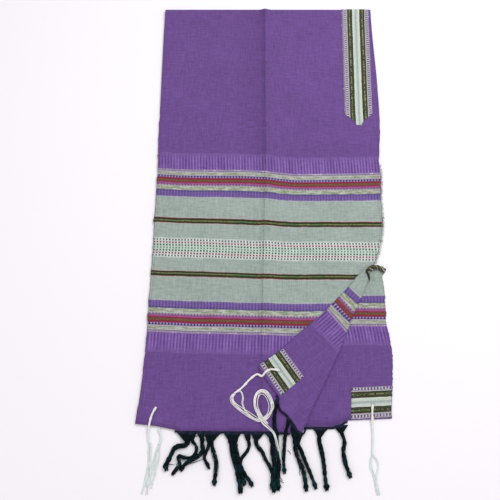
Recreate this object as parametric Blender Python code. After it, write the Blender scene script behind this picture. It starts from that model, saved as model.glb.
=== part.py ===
"""A tallit, the fringed prayer shawl, laid flat: folded in half, with one corner turned back.

The tables are in millimetres and the meshes in metres. X runs across the cloth, Y along it
with the fold at the far end, and Z up from the surface that it lies on. The upper half shows
its face. Where its near right corner is turned back, the lower half shows its reverse.
"""
import math

import bmesh
import bpy
import numpy as np

MM = 0.001
SEAM = 0.3             # air between two pieces that touch
CLOTH = 1.5            # wall of the woven cloth
UNDER_TOP = 2.4        # top of the lower half, which lies on the surface
UPPER_LOW = UNDER_TOP + SEAM
UPPER_TOP = UPPER_LOW + CLOTH
FLAP_LOW = 5.0         # clears the ribs of the upper half
FLAP_TOP = FLAP_LOW + CLOTH
PATCH = 0.9            # wall of the sewn-on band cloth
PATCH_TOP = SEAM + PATCH

FOLD_Y = 560.2         # outermost line of the fold across the middle of the cloth
FOLD_RADIUS = 3.6
FOLD_RISE = 42.0       # length over which the cloth rises to the fold
FOLD_TAIL = 10.0       # how far the fold's lower leg runs back under
HEM_START = -428.4     # the upper half's hem at its left end

# Weft lines of the plain far part, and which of its columns the plain inside keeps.
PANEL_ROWS = [540, 519, 480, 440, 400, 360, 320, 283, 250, 219, 204, 192, 180]
INNER_COLUMNS = [0, 2, 4, 6, 8, 9, 10, 11, 12, 14, 16, 18, 20, 22]

RIB_PITCH = 6.6
RIB_HEIGHT = 0.5
BAND_CENTRE = -59.4    # the dotted middle stripe of the upper half, at its left edge
UNDER_SHIFT = 17.0     # the lower half lies this much further up than the upper half

# Edges of the upper half: place along the cloth, then place across it.
LEFT_EDGE = [
    (561, -244.1), (499, -245.2), (184, -244.8), (118, -242.6), (10, -244.1),
    (-117, -245.5), (-178, -247.8), (-230, -247.1), (-336, -251.8), (-428, -260.3),
]
RIGHT_EDGE = [
    (561, 256.4), (478, 257.3), (368, 260.2), (283, 260.4), (219, 257.8), (140, 250.1),
    (113, 252.9), (55, 249.3), (-3, 249.2), (-42, 244.6), (-74, 235.3), (-97, 226.4),
    (-105, 219.5),
]
# Diagonal fold of the turned-back corner, from the selvedge down to the hem.
TURN_LINE = [
    (-105, 219.5), (-134, 210.0), (-173, 193.4), (-212, 173.8), (-250, 158.4), (-272, 150.0),
    (-309, 132.0), (-358, 107.0), (-402, 82.7), (-434, 69.7), (-446, 64.8),
]
# Right edge of the lower half where the turned corner bares it.
BARED_EDGE = [
    (-60, 238.0), (-98, 240.0), (-104, 245.5), (-117, 245.0), (-123, 241.0), (-167, 243.7),
    (-223, 241.6), (-251, 246.8), (-294, 250.7), (-360, 245.9), (-421, 240.2),
]
# Lengthwise crease: place along, place across, height and half width.
CREASE = [
    (561, -0.9, 5.0, 16.0), (520, -0.9, 3.6, 14.0), (430, -1.2, 2.4, 12.0),
    (174, -1.6, 1.6, 10.0), (-44, -7.6, 1.4, 9.0), (-266, -13.2, 0.9, 9.0),
    (-330, -14.0, 0.0, 9.0),
]
# How far a weft line slides down the cloth, by its place across from left (0) to right (1).
WEFT_SAG = [(0.0, 0.0), (0.22, -4.0), (0.46, -9.5), (0.5, -6.5), (0.75, -7.5), (1.0, -7.0)]
# Soft wrinkles of the upper half: two ends, height and half width.
WRINKLES = [
    (46, 181, 178, 204, 2.0, 16.0),
    (165, 318, 163, 238, 1.2, 12.0),
    (-12, -264, 51, -270, 1.2, 10.0),
]
# Hems, by place across: where the purple cloth ends.
UPPER_HEM = [
    (-261, HEM_START), (-221, -431.9), (-184, -438.0), (-172, -439.4), (-92, -439.8),
    (-8, -440.6), (40, -444.0), (62, -440.0),
]
UNDER_HEM = [
    (-258, -424.0), (-200, -428.0), (-170, -434.0), (150, -434.0), (153, -423.0),
    (241, -418.0),
]
# Ribbed stretches of the weave: distances from the dotted middle stripe.
RIBS_FAR = (188.0, 230.0)
RIBS_NEAR = (-188.0, -224.0)
RIBS_BARED = (-188.0, -233.0)

# The turned corner, a row for each weft line: its free edge, then where it meets the fold.
FLAP_WEFTS = [
    ("neck", 206.0, -107.0, 217.6, -110.0),
    ("grey", 191.3, -122.5, 213.5, -124.0),
    ("grey", 177.0, -137.7, 207.0, -141.0),
    ("purple stripe", 162.3, -156.5, 194.0, -172.0),
    ("light stripe", 150.0, -170.6, 185.5, -189.0),
    ("red stripe", 139.0, -184.6, 175.0, -209.5),
    ("light stripe", 127.0, -194.0, 166.5, -230.0),
    ("ribs begin", 118.0, -202.0, 158.4, -250.0),
    ("ribs end", 90.0, -229.4, 138.0, -296.0),
    ("plain", 62.0, -248.1, 118.5, -335.0),
    ("plain", 30.0, -277.0, 96.5, -377.0),
    ("plain", 5.0, -297.0, 83.0, -402.0),
]
# Hem of the turned corner, from the fold to the free corner.
FLAP_HEM = [
    (69.7, -434.4), (59.5, -446.5), (47.0, -449.0), (44.5, -437.0), (42.3, -423.4),
    (34.0, -407.0), (27.2, -392.7), (20.5, -380.0), (0.0, -351.0), (-22.6, -317.7),
]
TURN_RADIUS = 2.8
TURN_LEG = 8.0         # how far the fold's lower leg reaches back under the flap
TURN_RISE = 18.0       # width over which the flap comes down from the fold
TURN_SLANT = 1.12      # a width square to the fold, as measured across the cloth

# Outlines of the sewn-on pieces.
NECK_BAND = {"left": 184.8, "right": 252.1, "left_low": 178.7, "right_low": 244.5,
             "mitre": 268.0, "tip": 238.0, "tip_left": 199.9, "tip_right": 220.4}
RIGHT_PATCH = [(164.0, -358.1), (244.0, -354.6), (238.6, -416.0), (159.9, -420.5)]
FLAP_PATCH = [(-18.0, -313.0), (29.7, -280.5), (69.8, -337.3), (23.4, -374.5)]

# Tassels: name, the stretch of hem that it gathers (from, to), ply width, and its route as
# places across, along, and the height of what it lies on.
TASSELS_UPPER = [
    ("a", -184, -160, 3.4, [(-168, -459, 0), (-172, -466, 0), (-181, -467, 0),
                            (-186, -478, 0), (-193, -494, 0), (-199, -514, 0)]),
    ("b", -158, -145, 3.2, [(-148, -460, 0), (-143, -471, 0), (-143, -482, 0),
                            (-149, -490, 0), (-158, -493, 0), (-167, -490, 0), (-176, -489, 0),
                            (-179, -497, 0), (-176, -505, 0), (-180, -514, 0), (-186, -522, 0)]),
    ("c", -145, -125, 3.4, [(-132, -464, 0), (-128, -479, 0), (-131, -490, 0),
                            (-141, -499, 0), (-152, -506, 0), (-163, -513, 0), (-170, -519, 0)]),
    ("d", -125, -92, 3.2, [(-113, -465, 0), (-107, -484, 0), (-102, -500, 0),
                           (-102, -514, 0), (-106, -540, 0)]),
    ("e_left", -92, -72, 3.5, [(-78, -466, 0), (-73, -489, 0), (-66, -508, 0),
                               (-61, -527, 0), (-59, -559, 0)]),
    ("e_right", -72, -52, 3.5, [(-68.5, -466, 0), (-64, -488, 0), (-57, -506, 0),
                                (-52, -526, 0), (-48, -549, 0)]),
    ("f", -52, -35, 3.0, [(-42, -468, 0), (-50, -485, 0), (-48, -500, 0),
                          (-42, -517, 0), (-36, -532, 0), (-31, -543, 0)]),
    ("g", -35, -8, 3.0, [(-23, -464, 0), (-14, -478, 0), (-9, -494, 0),
                         (-5, -509, 0), (-5, -530, 0), (-7, -552, 0)]),
    ("h", 12, 30, 3.2, [(17, -464, 0), (14, -484, 0), (14, -508, 0),
                        (13, -535, 0), (12, -558, 0)]),
]
TASSELS_UNDER = [
    ("k", 77, 122, 3.6, [(98, -462, 0), (102, -484, 0), (104, -506, 0),
                         (104, -531, 0), (107, -555, 0)]),
    ("l", 127, 149, 3.6, [(140, -450, 0), (146, -465, 0), (144, -482, 0),
                          (148, -503, 0), (154, -529, 0)]),
]
# The tassels of the turned corner gather its own hem: places are corner numbers of FLAP_HEM.
TASSELS_FLAP = [
    ("j_right", 1.0, 1.5, 3.0, [(60, -464, 1), (62, -478, 0), (69, -498, 0), (78, -524, 0),
                                (88, -548, 0)]),
    ("j_left", 1.5, 2.0, 3.2, [(50, -464, 1), (49, -476, 0), (54, -499, 0), (62, -524, 0),
                               (67, -553, 0)]),
    ("i", 4.2, 4.45, 2.2, [(33, -428, 4.2), (33.5, -439, 4.2), (33, -450, 4.2), (31, -466, 0), (30, -490, 0),
                           (31, -507, 0), (32, -519, 0)]),
    ("f1", 6.4, 6.85, 2.6, [(15, -398, 4.2), (14.5, -416, 4.2), (13, -434, 4.2), (8, -448, 4.2),
                           (4, -464, 0), (4, -486, 0), (5, -508, 0), (4, -533, 0),
                           (3, -555, 0)]),
]
STRIP_DEPTH = 4.0      # hem strip that the tassels grow from
PLY_GAP = 0.5
WEB_LENGTH = 15.0      # length over which the gathered hem narrows to a tassel
TWIST_PITCH = 76.0
KNOT_END = 15.0        # knot and brush at the end of each tassel

# Tzitzit: the knotted cord, then the strings in four pairs. Same columns as a tassel route.
CORD_WIDTH = 4.4
CORD_HEIGHT = 3.4
KNOT_SWELL = 0.35
STRING = 1.4
STRING_GAP = 0.4
TZITZIT = {
    "tzitzit_right": {
        "cord": [(203.6, -391.5, 3.6), (202, -404, 3.6), (201, -423, 3.6), (201, -431, 2.0),
                 (201, -442, 0), (200, -460, 0), (198, -488, 0)],
        "strings": [
            ((0, 1), [(196.6, -488, 0), (192.5, -498, 0), (192, -508, 0), (195, -520, 0),
                      (198.5, -531, 0), (200, -544, 0), (202.5, -559.5, 0)]),
            ((2, 3), [(199.4, -488, 0), (206, -498, 0), (207.5, -508, 0), (205, -520, 0),
                      (202.9, -531, 0), (204.4, -544, 0), (206.9, -559.5, 0)]),
        ],
    },
    "tzitzit_left_upper": {
        "cord": [(-221.5, -396.5, 4.2), (-227, -406, 4.2), (-231, -417, 4.2),
                 (-234, -433, 4.2), (-235, -442, 2.0), (-235, -452, 0), (-232, -466, 0)],
        "strings": [
            ((0, 1, 2, 3), [(-232, -466, 0), (-229, -478, 0), (-229, -498, 0), (-232, -520, 0),
                            (-235, -538, 0), (-237, -561.0, 0)]),
        ],
    },
    "tzitzit_left_under": {
        "cord": [(-215, -436.0, 0), (-214.4, -440, 0), (-211, -448, 0), (-210, -457, 0),
                 (-213, -468, 0)],
        "strings": [
            ((0, 1, 2, 3), [(-213, -468, 0), (-217, -480, 0), (-219, -500, 0), (-220, -514, 0),
                            (-224, -531, 0), (-229, -547, 0)]),
        ],
    },
    "tzitzit_flap": {
        "cord": [(21.5, -325.5, 7.7), (12, -323.5, 7.7), (2, -323.5, 7.7), (-7, -329, 7.5),
                 (-14, -336, 5.2), (-24, -332.5, 4.2), (-38, -342.5, 4.2), (-49, -354.5, 4.2),
                 (-59, -363.5, 4.2), (-68, -369.5, 4.2)],
        "strings": [
            ((0, 1, 2, 3), [
                (-68, -369.5, 4.2), (-75, -377, 4.2), (-72, -387, 4.2), (-62, -394, 4.2),
                (-49, -402.5, 4.2), (-34, -413.5, 4.2), (-19, -418.5, 4.2), (-5, -414, 4.2),
                (5, -403.5, 4.2), (6, -390, 4.2), (0, -377.5, 4.2), (-10, -369.5, 4.2),
                (-20, -369, 4.2), (-28, -375.5, 4.2), (-31, -386, 4.2), (-29, -397, 5.2),
                (-24, -408, 6.8), (-17, -420, 6.8), (-9, -432, 5.6), (-1, -443, 7.4),
                (7, -453, 12.2), (14, -462, 12.0), (20, -472, 8.4), (22, -482, 3.6),
                (22, -493, 0), (21.5, -509, 0)]),
        ],
    },
}

COLOURS = {
    "purple": (0.16, 0.09, 0.27), "band": (0.42, 0.46, 0.44),
    "teal": (0.01, 0.02, 0.03), "white": (0.80, 0.78, 0.74),
}


def clear_scene():
    for thing in list(bpy.data.objects):
        bpy.data.objects.remove(thing)


def fabric(name):
    """A dull woven finish in one of the named colours."""
    finish = bpy.data.materials.get(name) or bpy.data.materials.new(name)
    finish.use_nodes = True
    shader = finish.node_tree.nodes["Principled BSDF"]
    shader.inputs["Base Color"].default_value = (*COLOURS[name], 1.0)
    shader.inputs["Roughness"].default_value = 0.9
    shader.inputs["Metallic"].default_value = 0.0
    return finish


def ease(t):
    """Smooth step from 0 to 1."""
    t = np.clip(t, 0.0, 1.0)
    return t * t * (3.0 - 2.0 * t)


def read(table, at, column=1):
    """Value of a table's column at a place along its first column."""
    rows = sorted(table)
    return np.interp(at, [row[0] for row in rows], [row[column] for row in rows])


def smooth_line(points, fine=16):
    """A fine line on the Catmull-Rom curve through the points, its height straight between."""
    p = np.array(points, float)
    p = np.vstack([2 * p[0] - p[1], p, 2 * p[-1] - p[-2]])
    t = np.linspace(0.0, 1.0, fine, endpoint=False)[:, None]
    runs = []
    for a, b, c, d in zip(p, p[1:], p[2:], p[3:]):
        bend = (2 * a - 5 * b + 4 * c - d) * t ** 2 + (3 * b - a - 3 * c + d) * t ** 3
        runs.append(0.5 * (2 * b + (c - a) * t + bend))
    runs.append(p[-2:-1])
    line = np.vstack(runs)
    line[:, 2] = np.interp(np.arange(len(line)) / fine, np.arange(len(points)), p[1:-1, 2])
    return line


def distances(line):
    """Distance run along a line at each of its points."""
    return np.concatenate([[0.0], np.cumsum(np.linalg.norm(np.diff(line, axis=0), axis=1))])


def along(line, places):
    """Points of a line at the given distances, with the direction there."""
    run = distances(line)
    reach = 1.5

    def at(distance):
        return np.stack([np.interp(distance, run, line[:, k]) for k in range(line.shape[1])], 1)

    ahead = at(np.minimum(places + reach, run[-1])) - at(np.maximum(places - reach, 0.0))
    return at(places), ahead / np.linalg.norm(ahead, axis=1)[:, None]


def stations(line, longest, turn):
    """Distances along a line, closer where it bends: no step turns more than `turn` degrees."""
    run = distances(line)
    heading = np.unwrap(np.arctan2(np.gradient(line[:, 1]), np.gradient(line[:, 0])))
    turned = np.concatenate([[0.0], np.cumsum(np.abs(np.diff(heading)))])
    effort = run / longest + np.degrees(turned) / turn
    count = max(2, int(math.ceil(effort[-1])))
    return np.interp(np.linspace(0.0, effort[-1], count + 1), effort, run)


class Builder:
    """Collects the vertices and faces of one closed piece."""

    def __init__(self):
        self.bm = bmesh.new()

    def vertex(self, point):
        return self.bm.verts.new([c * MM for c in point])

    def row(self, places, points):
        """A row of vertices, each with its place across from 0 to 1."""
        return list(zip(places, [self.vertex(p) for p in points]))

    def face(self, *corners):
        self.bm.faces.new(corners)

    def stitch(self, one, two):
        """Fill between two rows: a quad where their places match, else triangles."""
        i = j = 0
        while i < len(one) - 1 or j < len(two) - 1:
            next_i = one[i + 1][0] if i < len(one) - 1 else math.inf
            next_j = two[j + 1][0] if j < len(two) - 1 else math.inf
            a, b = one[i][1], two[j][1]
            if abs(next_i - next_j) < 1e-4:
                self.face(a, b, two[j + 1][1], one[i + 1][1])
                i, j = i + 1, j + 1
            elif next_i < next_j:
                self.face(a, b, one[i + 1][1])
                i += 1
            else:
                self.face(a, b, two[j + 1][1])
                j += 1

    def tube(self, first, rings):
        """Carry a ring of vertices through further rings and close the end."""
        for ring in rings:
            new = [self.vertex(p) for p in ring]
            for k in range(len(new)):
                n = (k + 1) % len(new)
                self.face(first[k], first[n], new[n], new[k])
            first = new
        self.face(*first)

    def finish(self, name, material):
        """Make the object, in the part's collection."""
        bmesh.ops.recalc_face_normals(self.bm, faces=self.bm.faces)
        mesh = bpy.data.meshes.new(name)
        self.bm.to_mesh(mesh)
        self.bm.free()
        mesh.materials.append(fabric(material))
        piece = bpy.data.objects.new(name, mesh)
        bpy.data.collections["tallit"].objects.link(piece)
        return piece


def wall(name, material, outer, inner):
    """A cloth wall: rows (places, points) of its outer and inner faces, closed all round."""
    build = Builder()
    outer = [build.row(*row) for row in outer]
    inner = [build.row(*row) for row in inner]
    for k in range(len(outer) - 1):
        build.stitch(outer[k], outer[k + 1])
        build.stitch(inner[k], inner[k + 1])
        for end in (0, -1):
            build.face(outer[k][end][1], outer[k + 1][end][1],
                       inner[k + 1][end][1], inner[k][end][1])
    build.stitch(outer[0], inner[0])
    build.stitch(outer[-1], inner[-1])
    return build.finish(name, material)


def crease_lift(x, y):
    """Height that the lengthwise crease adds: a tent that sinks to nothing near the hem."""
    centre, height, half = (read(CREASE, y, column) for column in (1, 2, 3))
    return height * np.clip(1.0 - np.abs(x - centre) / half, 0.0, 1.0) ** 1.2


def wrinkle_lift(x, y):
    """Height that the soft wrinkles add: a bell across each, eased at its two ends."""
    lift = np.zeros_like(np.asarray(x, float) + np.asarray(y, float))
    for x0, y0, x1, y1, height, half in WRINKLES:
        run = np.array([x1 - x0, y1 - y0], float)
        length = np.linalg.norm(run)
        run /= length
        ahead = (x - x0) * run[0] + (y - y0) * run[1]
        aside = (y - y0) * run[0] - (x - x0) * run[1]
        ends = ease((ahead + half) / (2 * half)) * ease((length + half - ahead) / (2 * half))
        lift = lift + height * np.exp(-(aside / half * 1.6) ** 2) * ends
    return lift


def upper_lift(x, y):
    """Height of the upper half above where it would lie flat."""
    rise = 2.0 * FOLD_RADIUS - UPPER_TOP
    to_fold = rise * ease((y - (FOLD_Y - FOLD_RISE)) / (FOLD_RISE - FOLD_RADIUS))
    return to_fold + crease_lift(x, y) + wrinkle_lift(x, y)


def upper_right(y):
    """Right end of the upper half: its selvedge, then short of the diagonal fold."""
    seam = read(TURN_LINE, y) - (TURN_LEG + SEAM) * TURN_SLANT - 2.0 * SEAM
    return np.where(y > TURN_LINE[0][0], read(RIGHT_EDGE, y), seam)


def slid(y):
    """Where the weft line that starts at y on the left meets the right edge."""
    return y + read(WEFT_SAG, 1.0) * ease((540.0 - y) / 200.0)


def upper_columns(y):
    """Places across (0 to 1) and the x of each, with a close group at the crease."""
    left, right = read(LEFT_EDGE, y), float(upper_right(slid(y)))
    centre, half = read(CREASE, y, 1), read(CREASE, y, 3)
    near = np.array([-1.0, -0.5, 0.0, 0.5, 1.0]) * half + centre
    before = left + (near[0] - left) * np.linspace(0.0, 1.0, 9)[:-1]
    after = near[-1] + (right - near[-1]) * np.linspace(0.0, 1.0, 11)[1:]
    x = np.concatenate([before, near, after])
    return np.linspace(0.0, 1.0, len(x)), x


def weft_y(x, y):
    """A weft line that starts at y on the left: it slides down towards the crease."""
    across = (x - read(LEFT_EDGE, y)) / (read(RIGHT_EDGE, np.maximum(y, -3.0)) - read(LEFT_EDGE, y))
    return y + read(WEFT_SAG, across) * ease((540.0 - y) / 200.0)


def rib_columns(left, right, pitch=RIB_PITCH):
    """Crests and valleys of the ribs between two places, with the lift of each."""
    count = int((right - left - 4.0) // pitch)
    first = 0.5 * (left + right - count * pitch)
    x = first + 0.5 * pitch * np.arange(2 * count + 1)
    lift = np.where(np.arange(2 * count + 1) % 2 == 1, RIB_HEIGHT, 0.0)
    return np.concatenate([[left], x, [right]]), np.concatenate([[0.0], lift, [0.0]])


def upper_row(y, ribbed=False):
    """Outer and inner rows of the upper half along the weft line at y."""
    places, x = upper_columns(y)
    fine_x, rib = rib_columns(x[0], x[-1]) if ribbed else (x, np.zeros_like(x))
    fine_places = np.interp(fine_x, x, places)
    outer_y = weft_y(fine_x, y)
    outer_z = UPPER_TOP + upper_lift(fine_x, outer_y) + rib
    inner_x = x[INNER_COLUMNS]
    inner_y = weft_y(inner_x, y)
    inner_z = UPPER_LOW + upper_lift(inner_x, inner_y)
    return ((fine_places, np.stack([fine_x, outer_y, outer_z], 1)),
            (places[INNER_COLUMNS], np.stack([inner_x, inner_y, inner_z], 1)))


def hem_row(share):
    """Rows between the last ribs (share 0) and the hem (share 1) of the upper half."""
    start = BAND_CENTRE + RIBS_NEAR[1] - 6.0
    y_left = start + (HEM_START - start) * share
    places, x = upper_columns(y_left)
    flat = weft_y(x, y_left)
    y = flat + (read(UPPER_HEM, x) - weft_y(x, HEM_START)) * share
    x = np.minimum(x, upper_right(y[-1]))
    x[-1] = upper_right(y[-1])
    z = upper_lift(x, y)
    keep = INNER_COLUMNS
    return ((places, np.stack([x, y, z + UPPER_TOP], 1)),
            (places[keep], np.stack([x, y, z + UPPER_LOW], 1)[keep]))


def fold_row(angle):
    """Rows of the upper half round the fold, at an angle from its top (90) to its foot."""
    places, x = upper_columns(FOLD_Y)
    turn = math.radians(angle)
    centre_y = FOLD_Y - FOLD_RADIUS
    crease = crease_lift(x, FOLD_Y) * 0.5 * (1.0 + math.sin(turn))
    rows = []
    for radius in (FOLD_RADIUS, FOLD_RADIUS - CLOTH):
        y = np.full_like(x, centre_y + radius * math.cos(turn))
        z = FOLD_RADIUS + radius * math.sin(turn) + crease
        rows.append((places, np.stack([x, y, z], 1)))
    outer, (places, points) = rows
    return outer, (places[INNER_COLUMNS], points[INNER_COLUMNS])


def fold_foot():
    """Last rows of the fold: its lower leg, flat on the surface."""
    back = np.array([0.0, FOLD_TAIL, 0.0])
    (places, outer), (inner_places, inner) = fold_row(-90)
    return (places, outer - back), (inner_places, inner - back)


def make_upper_panel():
    """The upper half, from the fold's foot over the fold and down to the hem."""
    rows = [fold_foot()]
    rows += [fold_row(angle) for angle in (-90, -45, 0, 45, 90)]
    rows += [upper_row(y) for y in PANEL_ROWS]
    far = [BAND_CENTRE + v for v in reversed(RIBS_FAR)]
    near = [BAND_CENTRE + v for v in RIBS_NEAR]
    rows += [upper_row(far[0] + 4)] + [upper_row(y, True) for y in far] + [upper_row(far[1] - 4)]
    rows += [upper_row(y) for y in (84, 40, -3, -42, -67, -90, -98, -99, -133, -171, -205)]
    rows += [upper_row(near[0] + 4)] + [upper_row(y, True) for y in near]
    rows += [hem_row(share) for share in (0.0, 0.25, 0.5, 0.75, 1.0)]
    wall("upper_panel", "purple", [r[0] for r in rows], [r[1] for r in rows])


def gather_lift(x, y):
    """Small gathers of the lower half where its dark stripe meets the selvedge."""
    wave = 0.5 - 0.5 * np.cos((y + 101.0) / 6.0 * 2.0 * math.pi)
    inside = (y < -101.0) & (y > -119.1)
    return np.where(inside, 2.2 * wave * ease((x - 222.0) / 16.0), 0.0)


def under_row(y, ribbed=False):
    """Outer and inner rows of the lower half; its edge is rounded and its foot is flat."""
    edge = 1.4
    left = read(LEFT_EDGE, y) + 3.0
    right = read(BARED_EDGE, y) if y < -60 else read(RIGHT_EDGE, y) - 3.0
    bare = read(TURN_LINE, y) + 6.0 if y < -105 else 210.0
    start = max(min(bare, right - 30.0), 60.0)
    columns = np.concatenate([
        [left, left + edge], np.linspace(left + 40.0, start, 6),
        np.linspace(start, right - edge, 7)[1:], [right]])
    places = np.linspace(0.0, 1.0, len(columns))
    x, rib = columns, np.zeros_like(columns)
    if ribbed:
        fine, lift = rib_columns(start, right - edge)
        x = np.concatenate([columns[:7], fine, [right]])
        rib = np.concatenate([np.zeros(7), lift, [0.0]])
    fine_places = np.interp(x, columns, places)
    z = UNDER_TOP + rib + gather_lift(x, y)
    z[0] = z[-1] = 0.4 * UNDER_TOP
    hem = y <= -415
    outer_y = np.maximum(read(UNDER_HEM, x), y) if hem else np.full_like(x, y)
    outer = np.stack([x, outer_y, z], 1)
    inner_x = columns[[1, 4, 7, 10, -2]]
    inner_y = np.maximum(read(UNDER_HEM, inner_x), y) if hem else np.full_like(inner_x, y)
    inner = np.stack([inner_x, inner_y, np.zeros_like(inner_x)], 1)
    return (fine_places, outer), (places[[0, 4, 7, 10, -1]], inner)


def make_under_panel():
    """The lower half: one solid, bared on its reverse side beyond the diagonal fold."""
    top = FOLD_Y - FOLD_RADIUS - FOLD_TAIL - SEAM
    centre = BAND_CENTRE + UNDER_SHIFT - 7.0
    ribs = [centre + v for v in RIBS_BARED]
    plain = [top, 440, 300, 150, 20, -60, -98]
    plain += [-101, -104, -107, -110, -113, -116, -119, -130, -167, -212]
    rows = [under_row(y) for y in plain]
    rows += [under_row(ribs[0] + 4)] + [under_row(y, True) for y in ribs]
    rows += [under_row(ribs[1] - 4)]
    rows += [under_row(y) for y in (-330, -380, -414)]
    places, x = rows[-1][0][0], rows[-1][0][1][:, 0]
    hem = np.stack([x, read(UNDER_HEM, x), rows[-1][0][1][:, 2]], 1)
    inner_x = rows[-1][1][1][:, 0]
    foot = np.stack([inner_x, read(UNDER_HEM, inner_x), np.zeros_like(inner_x)], 1)
    rows.append(((places, hem), (rows[-1][1][0], foot)))
    wall("under_panel", "purple", [r[0] for r in rows], [r[1] for r in rows])


def inward_from_turn(y):
    """Level direction square to the diagonal fold at y, towards the turned corner."""
    step = 6.0
    ahead = np.array([read(TURN_LINE, y - step) - read(TURN_LINE, y + step), -2.0 * step])
    ahead /= np.linalg.norm(ahead)
    return np.array([ahead[1], -ahead[0]])


def flap_row(edge, fold, ribbed=False, line=None):
    """Outer and inner rows across the turned corner, from under its fold to its free edge."""
    inward = inward_from_turn(fold[1])
    centre = np.array(fold) + inward * TURN_RADIUS
    level = UPPER_LOW + TURN_RADIUS
    if line is None:
        width = np.linalg.norm(np.array(edge) - centre)
        share, rib = np.array([0.12, 0.28, 0.5, 0.75, 1.0]), np.zeros(5)
        if ribbed:
            fine, lift = rib_columns(TURN_RISE, width)
            share, rib = fine / width, lift
        plan = centre + (np.array(edge) - centre) * share[:, None]
        coarse = np.array([0.12, 0.28, 0.5, 0.75, 1.0])
    else:
        plan = np.array(line)
        share = distances(np.vstack([centre, plan]))[1:]
        share, rib = share / share[-1], np.zeros(len(plan))
        coarse = share
    rows = []
    for radius, low, ribs in ((TURN_RADIUS, FLAP_TOP, True), (TURN_RADIUS - CLOTH, FLAP_LOW, False)):
        points = [[*(centre + inward * (TURN_LEG - TURN_RADIUS)), level - radius]]
        for angle in (-90, -40, 0, 40, 90):
            turn = math.radians(angle)
            spot = centre - inward * radius * math.cos(turn)
            points.append([*spot, level + radius * math.sin(turn)])
        peak = level + radius
        spots, parts, lift = plan, share, rib
        if line is None and not ribs:
            spots = centre + (np.array(edge) - centre) * coarse[:, None]
            parts, lift = coarse, np.zeros(len(coarse))
        away = np.linalg.norm(spots - centre, axis=1)
        height = low + (peak - low) * (1.0 - ease(away / TURN_RISE)) + lift
        points += [[*spot, z] for spot, z in zip(spots, height)]
        places = np.concatenate([[0.0, 0.05, 0.1, 0.15, 0.2, 0.25], 0.25 + 0.75 * parts])
        rows.append((places, np.array(points)))
    return tuple(rows)


def make_corner_flap():
    """The corner of the upper half that is turned back, reverse side up."""
    rows = []
    for name, edge_x, edge_y, fold_x, fold_y in FLAP_WEFTS:
        ribbed = name.startswith("ribs")
        rows.append(flap_row((edge_x, edge_y), (fold_x, fold_y), ribbed))
    rows.append(flap_row(FLAP_HEM[-1], FLAP_HEM[0], line=FLAP_HEM[1:]))
    wall("corner_flap", "purple", [r[0] for r in rows], [r[1] for r in rows])


def make_neck_band():
    """The atarah, sewn along the right edge and over the fold: the panel's points, moved out."""
    band = NECK_BAND
    rows = []
    for angle in (-25, 10, 50, 90):
        turn = math.radians(angle)
        x = np.linspace(band["left"], band["right"], 5)
        pair = []
        for lift in (PATCH_TOP, SEAM):
            radius = FOLD_RADIUS + lift
            y = np.full(5, FOLD_Y - FOLD_RADIUS + radius * math.cos(turn))
            z = np.full(5, FOLD_RADIUS + radius * math.sin(turn))
            pair.append((np.linspace(0, 1, 5), np.stack([x, y, z], 1)))
        rows.append(pair)
    ends = [(y, None) for y in PANEL_ROWS if y > band["mitre"]]
    ends += [(band["mitre"], None), (band["tip"], (band["tip_left"], band["tip_right"]))]
    for y, tip in ends:
        down = (FOLD_Y - y) / (FOLD_Y - band["mitre"])
        left = band["left"] + (band["left_low"] - band["left"]) * down
        right = band["right"] + (band["right_low"] - band["right"]) * down
        left, right = tip or (left, right)
        x = np.linspace(left, right, 5)
        base = UPPER_TOP + upper_lift(x, np.full(5, float(y)))
        rows.append([(np.linspace(0, 1, 5), np.stack([x, np.full(5, y), base + lift], 1))
                     for lift in (PATCH_TOP, SEAM)])
    wall("neck_band", "band", [r[0] for r in rows], [r[1] for r in rows])


def make_patch(name, corners, base):
    """A corner patch between four corners, lying on cloth at a height."""
    far_left, far_right, near_right, near_left = (np.array(c) for c in corners)
    across = np.linspace(0.0, 1.0, 4)
    rows = []
    for down in np.linspace(0.0, 1.0, 4):
        start = far_left + (near_left - far_left) * down
        end = far_right + (near_right - far_right) * down
        plan = start + (end - start) * across[:, None]
        rows.append([(across, np.column_stack([plan, np.full(4, base + lift)]))
                     for lift in (PATCH_TOP, SEAM)])
    wall(name, "band", [r[0] for r in rows], [r[1] for r in rows])


def level_side(forward):
    """Level direction to the left of a heading."""
    side = np.array([-forward[1], forward[0], 0.0])
    return side / np.linalg.norm(side)


def section(centre, side, up, width, height):
    """Four corners of a strand's section."""
    w, h = side * width / 2, up * height / 2
    return [centre - w - h, centre + w - h, centre + w + h, centre - w + h]


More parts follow.
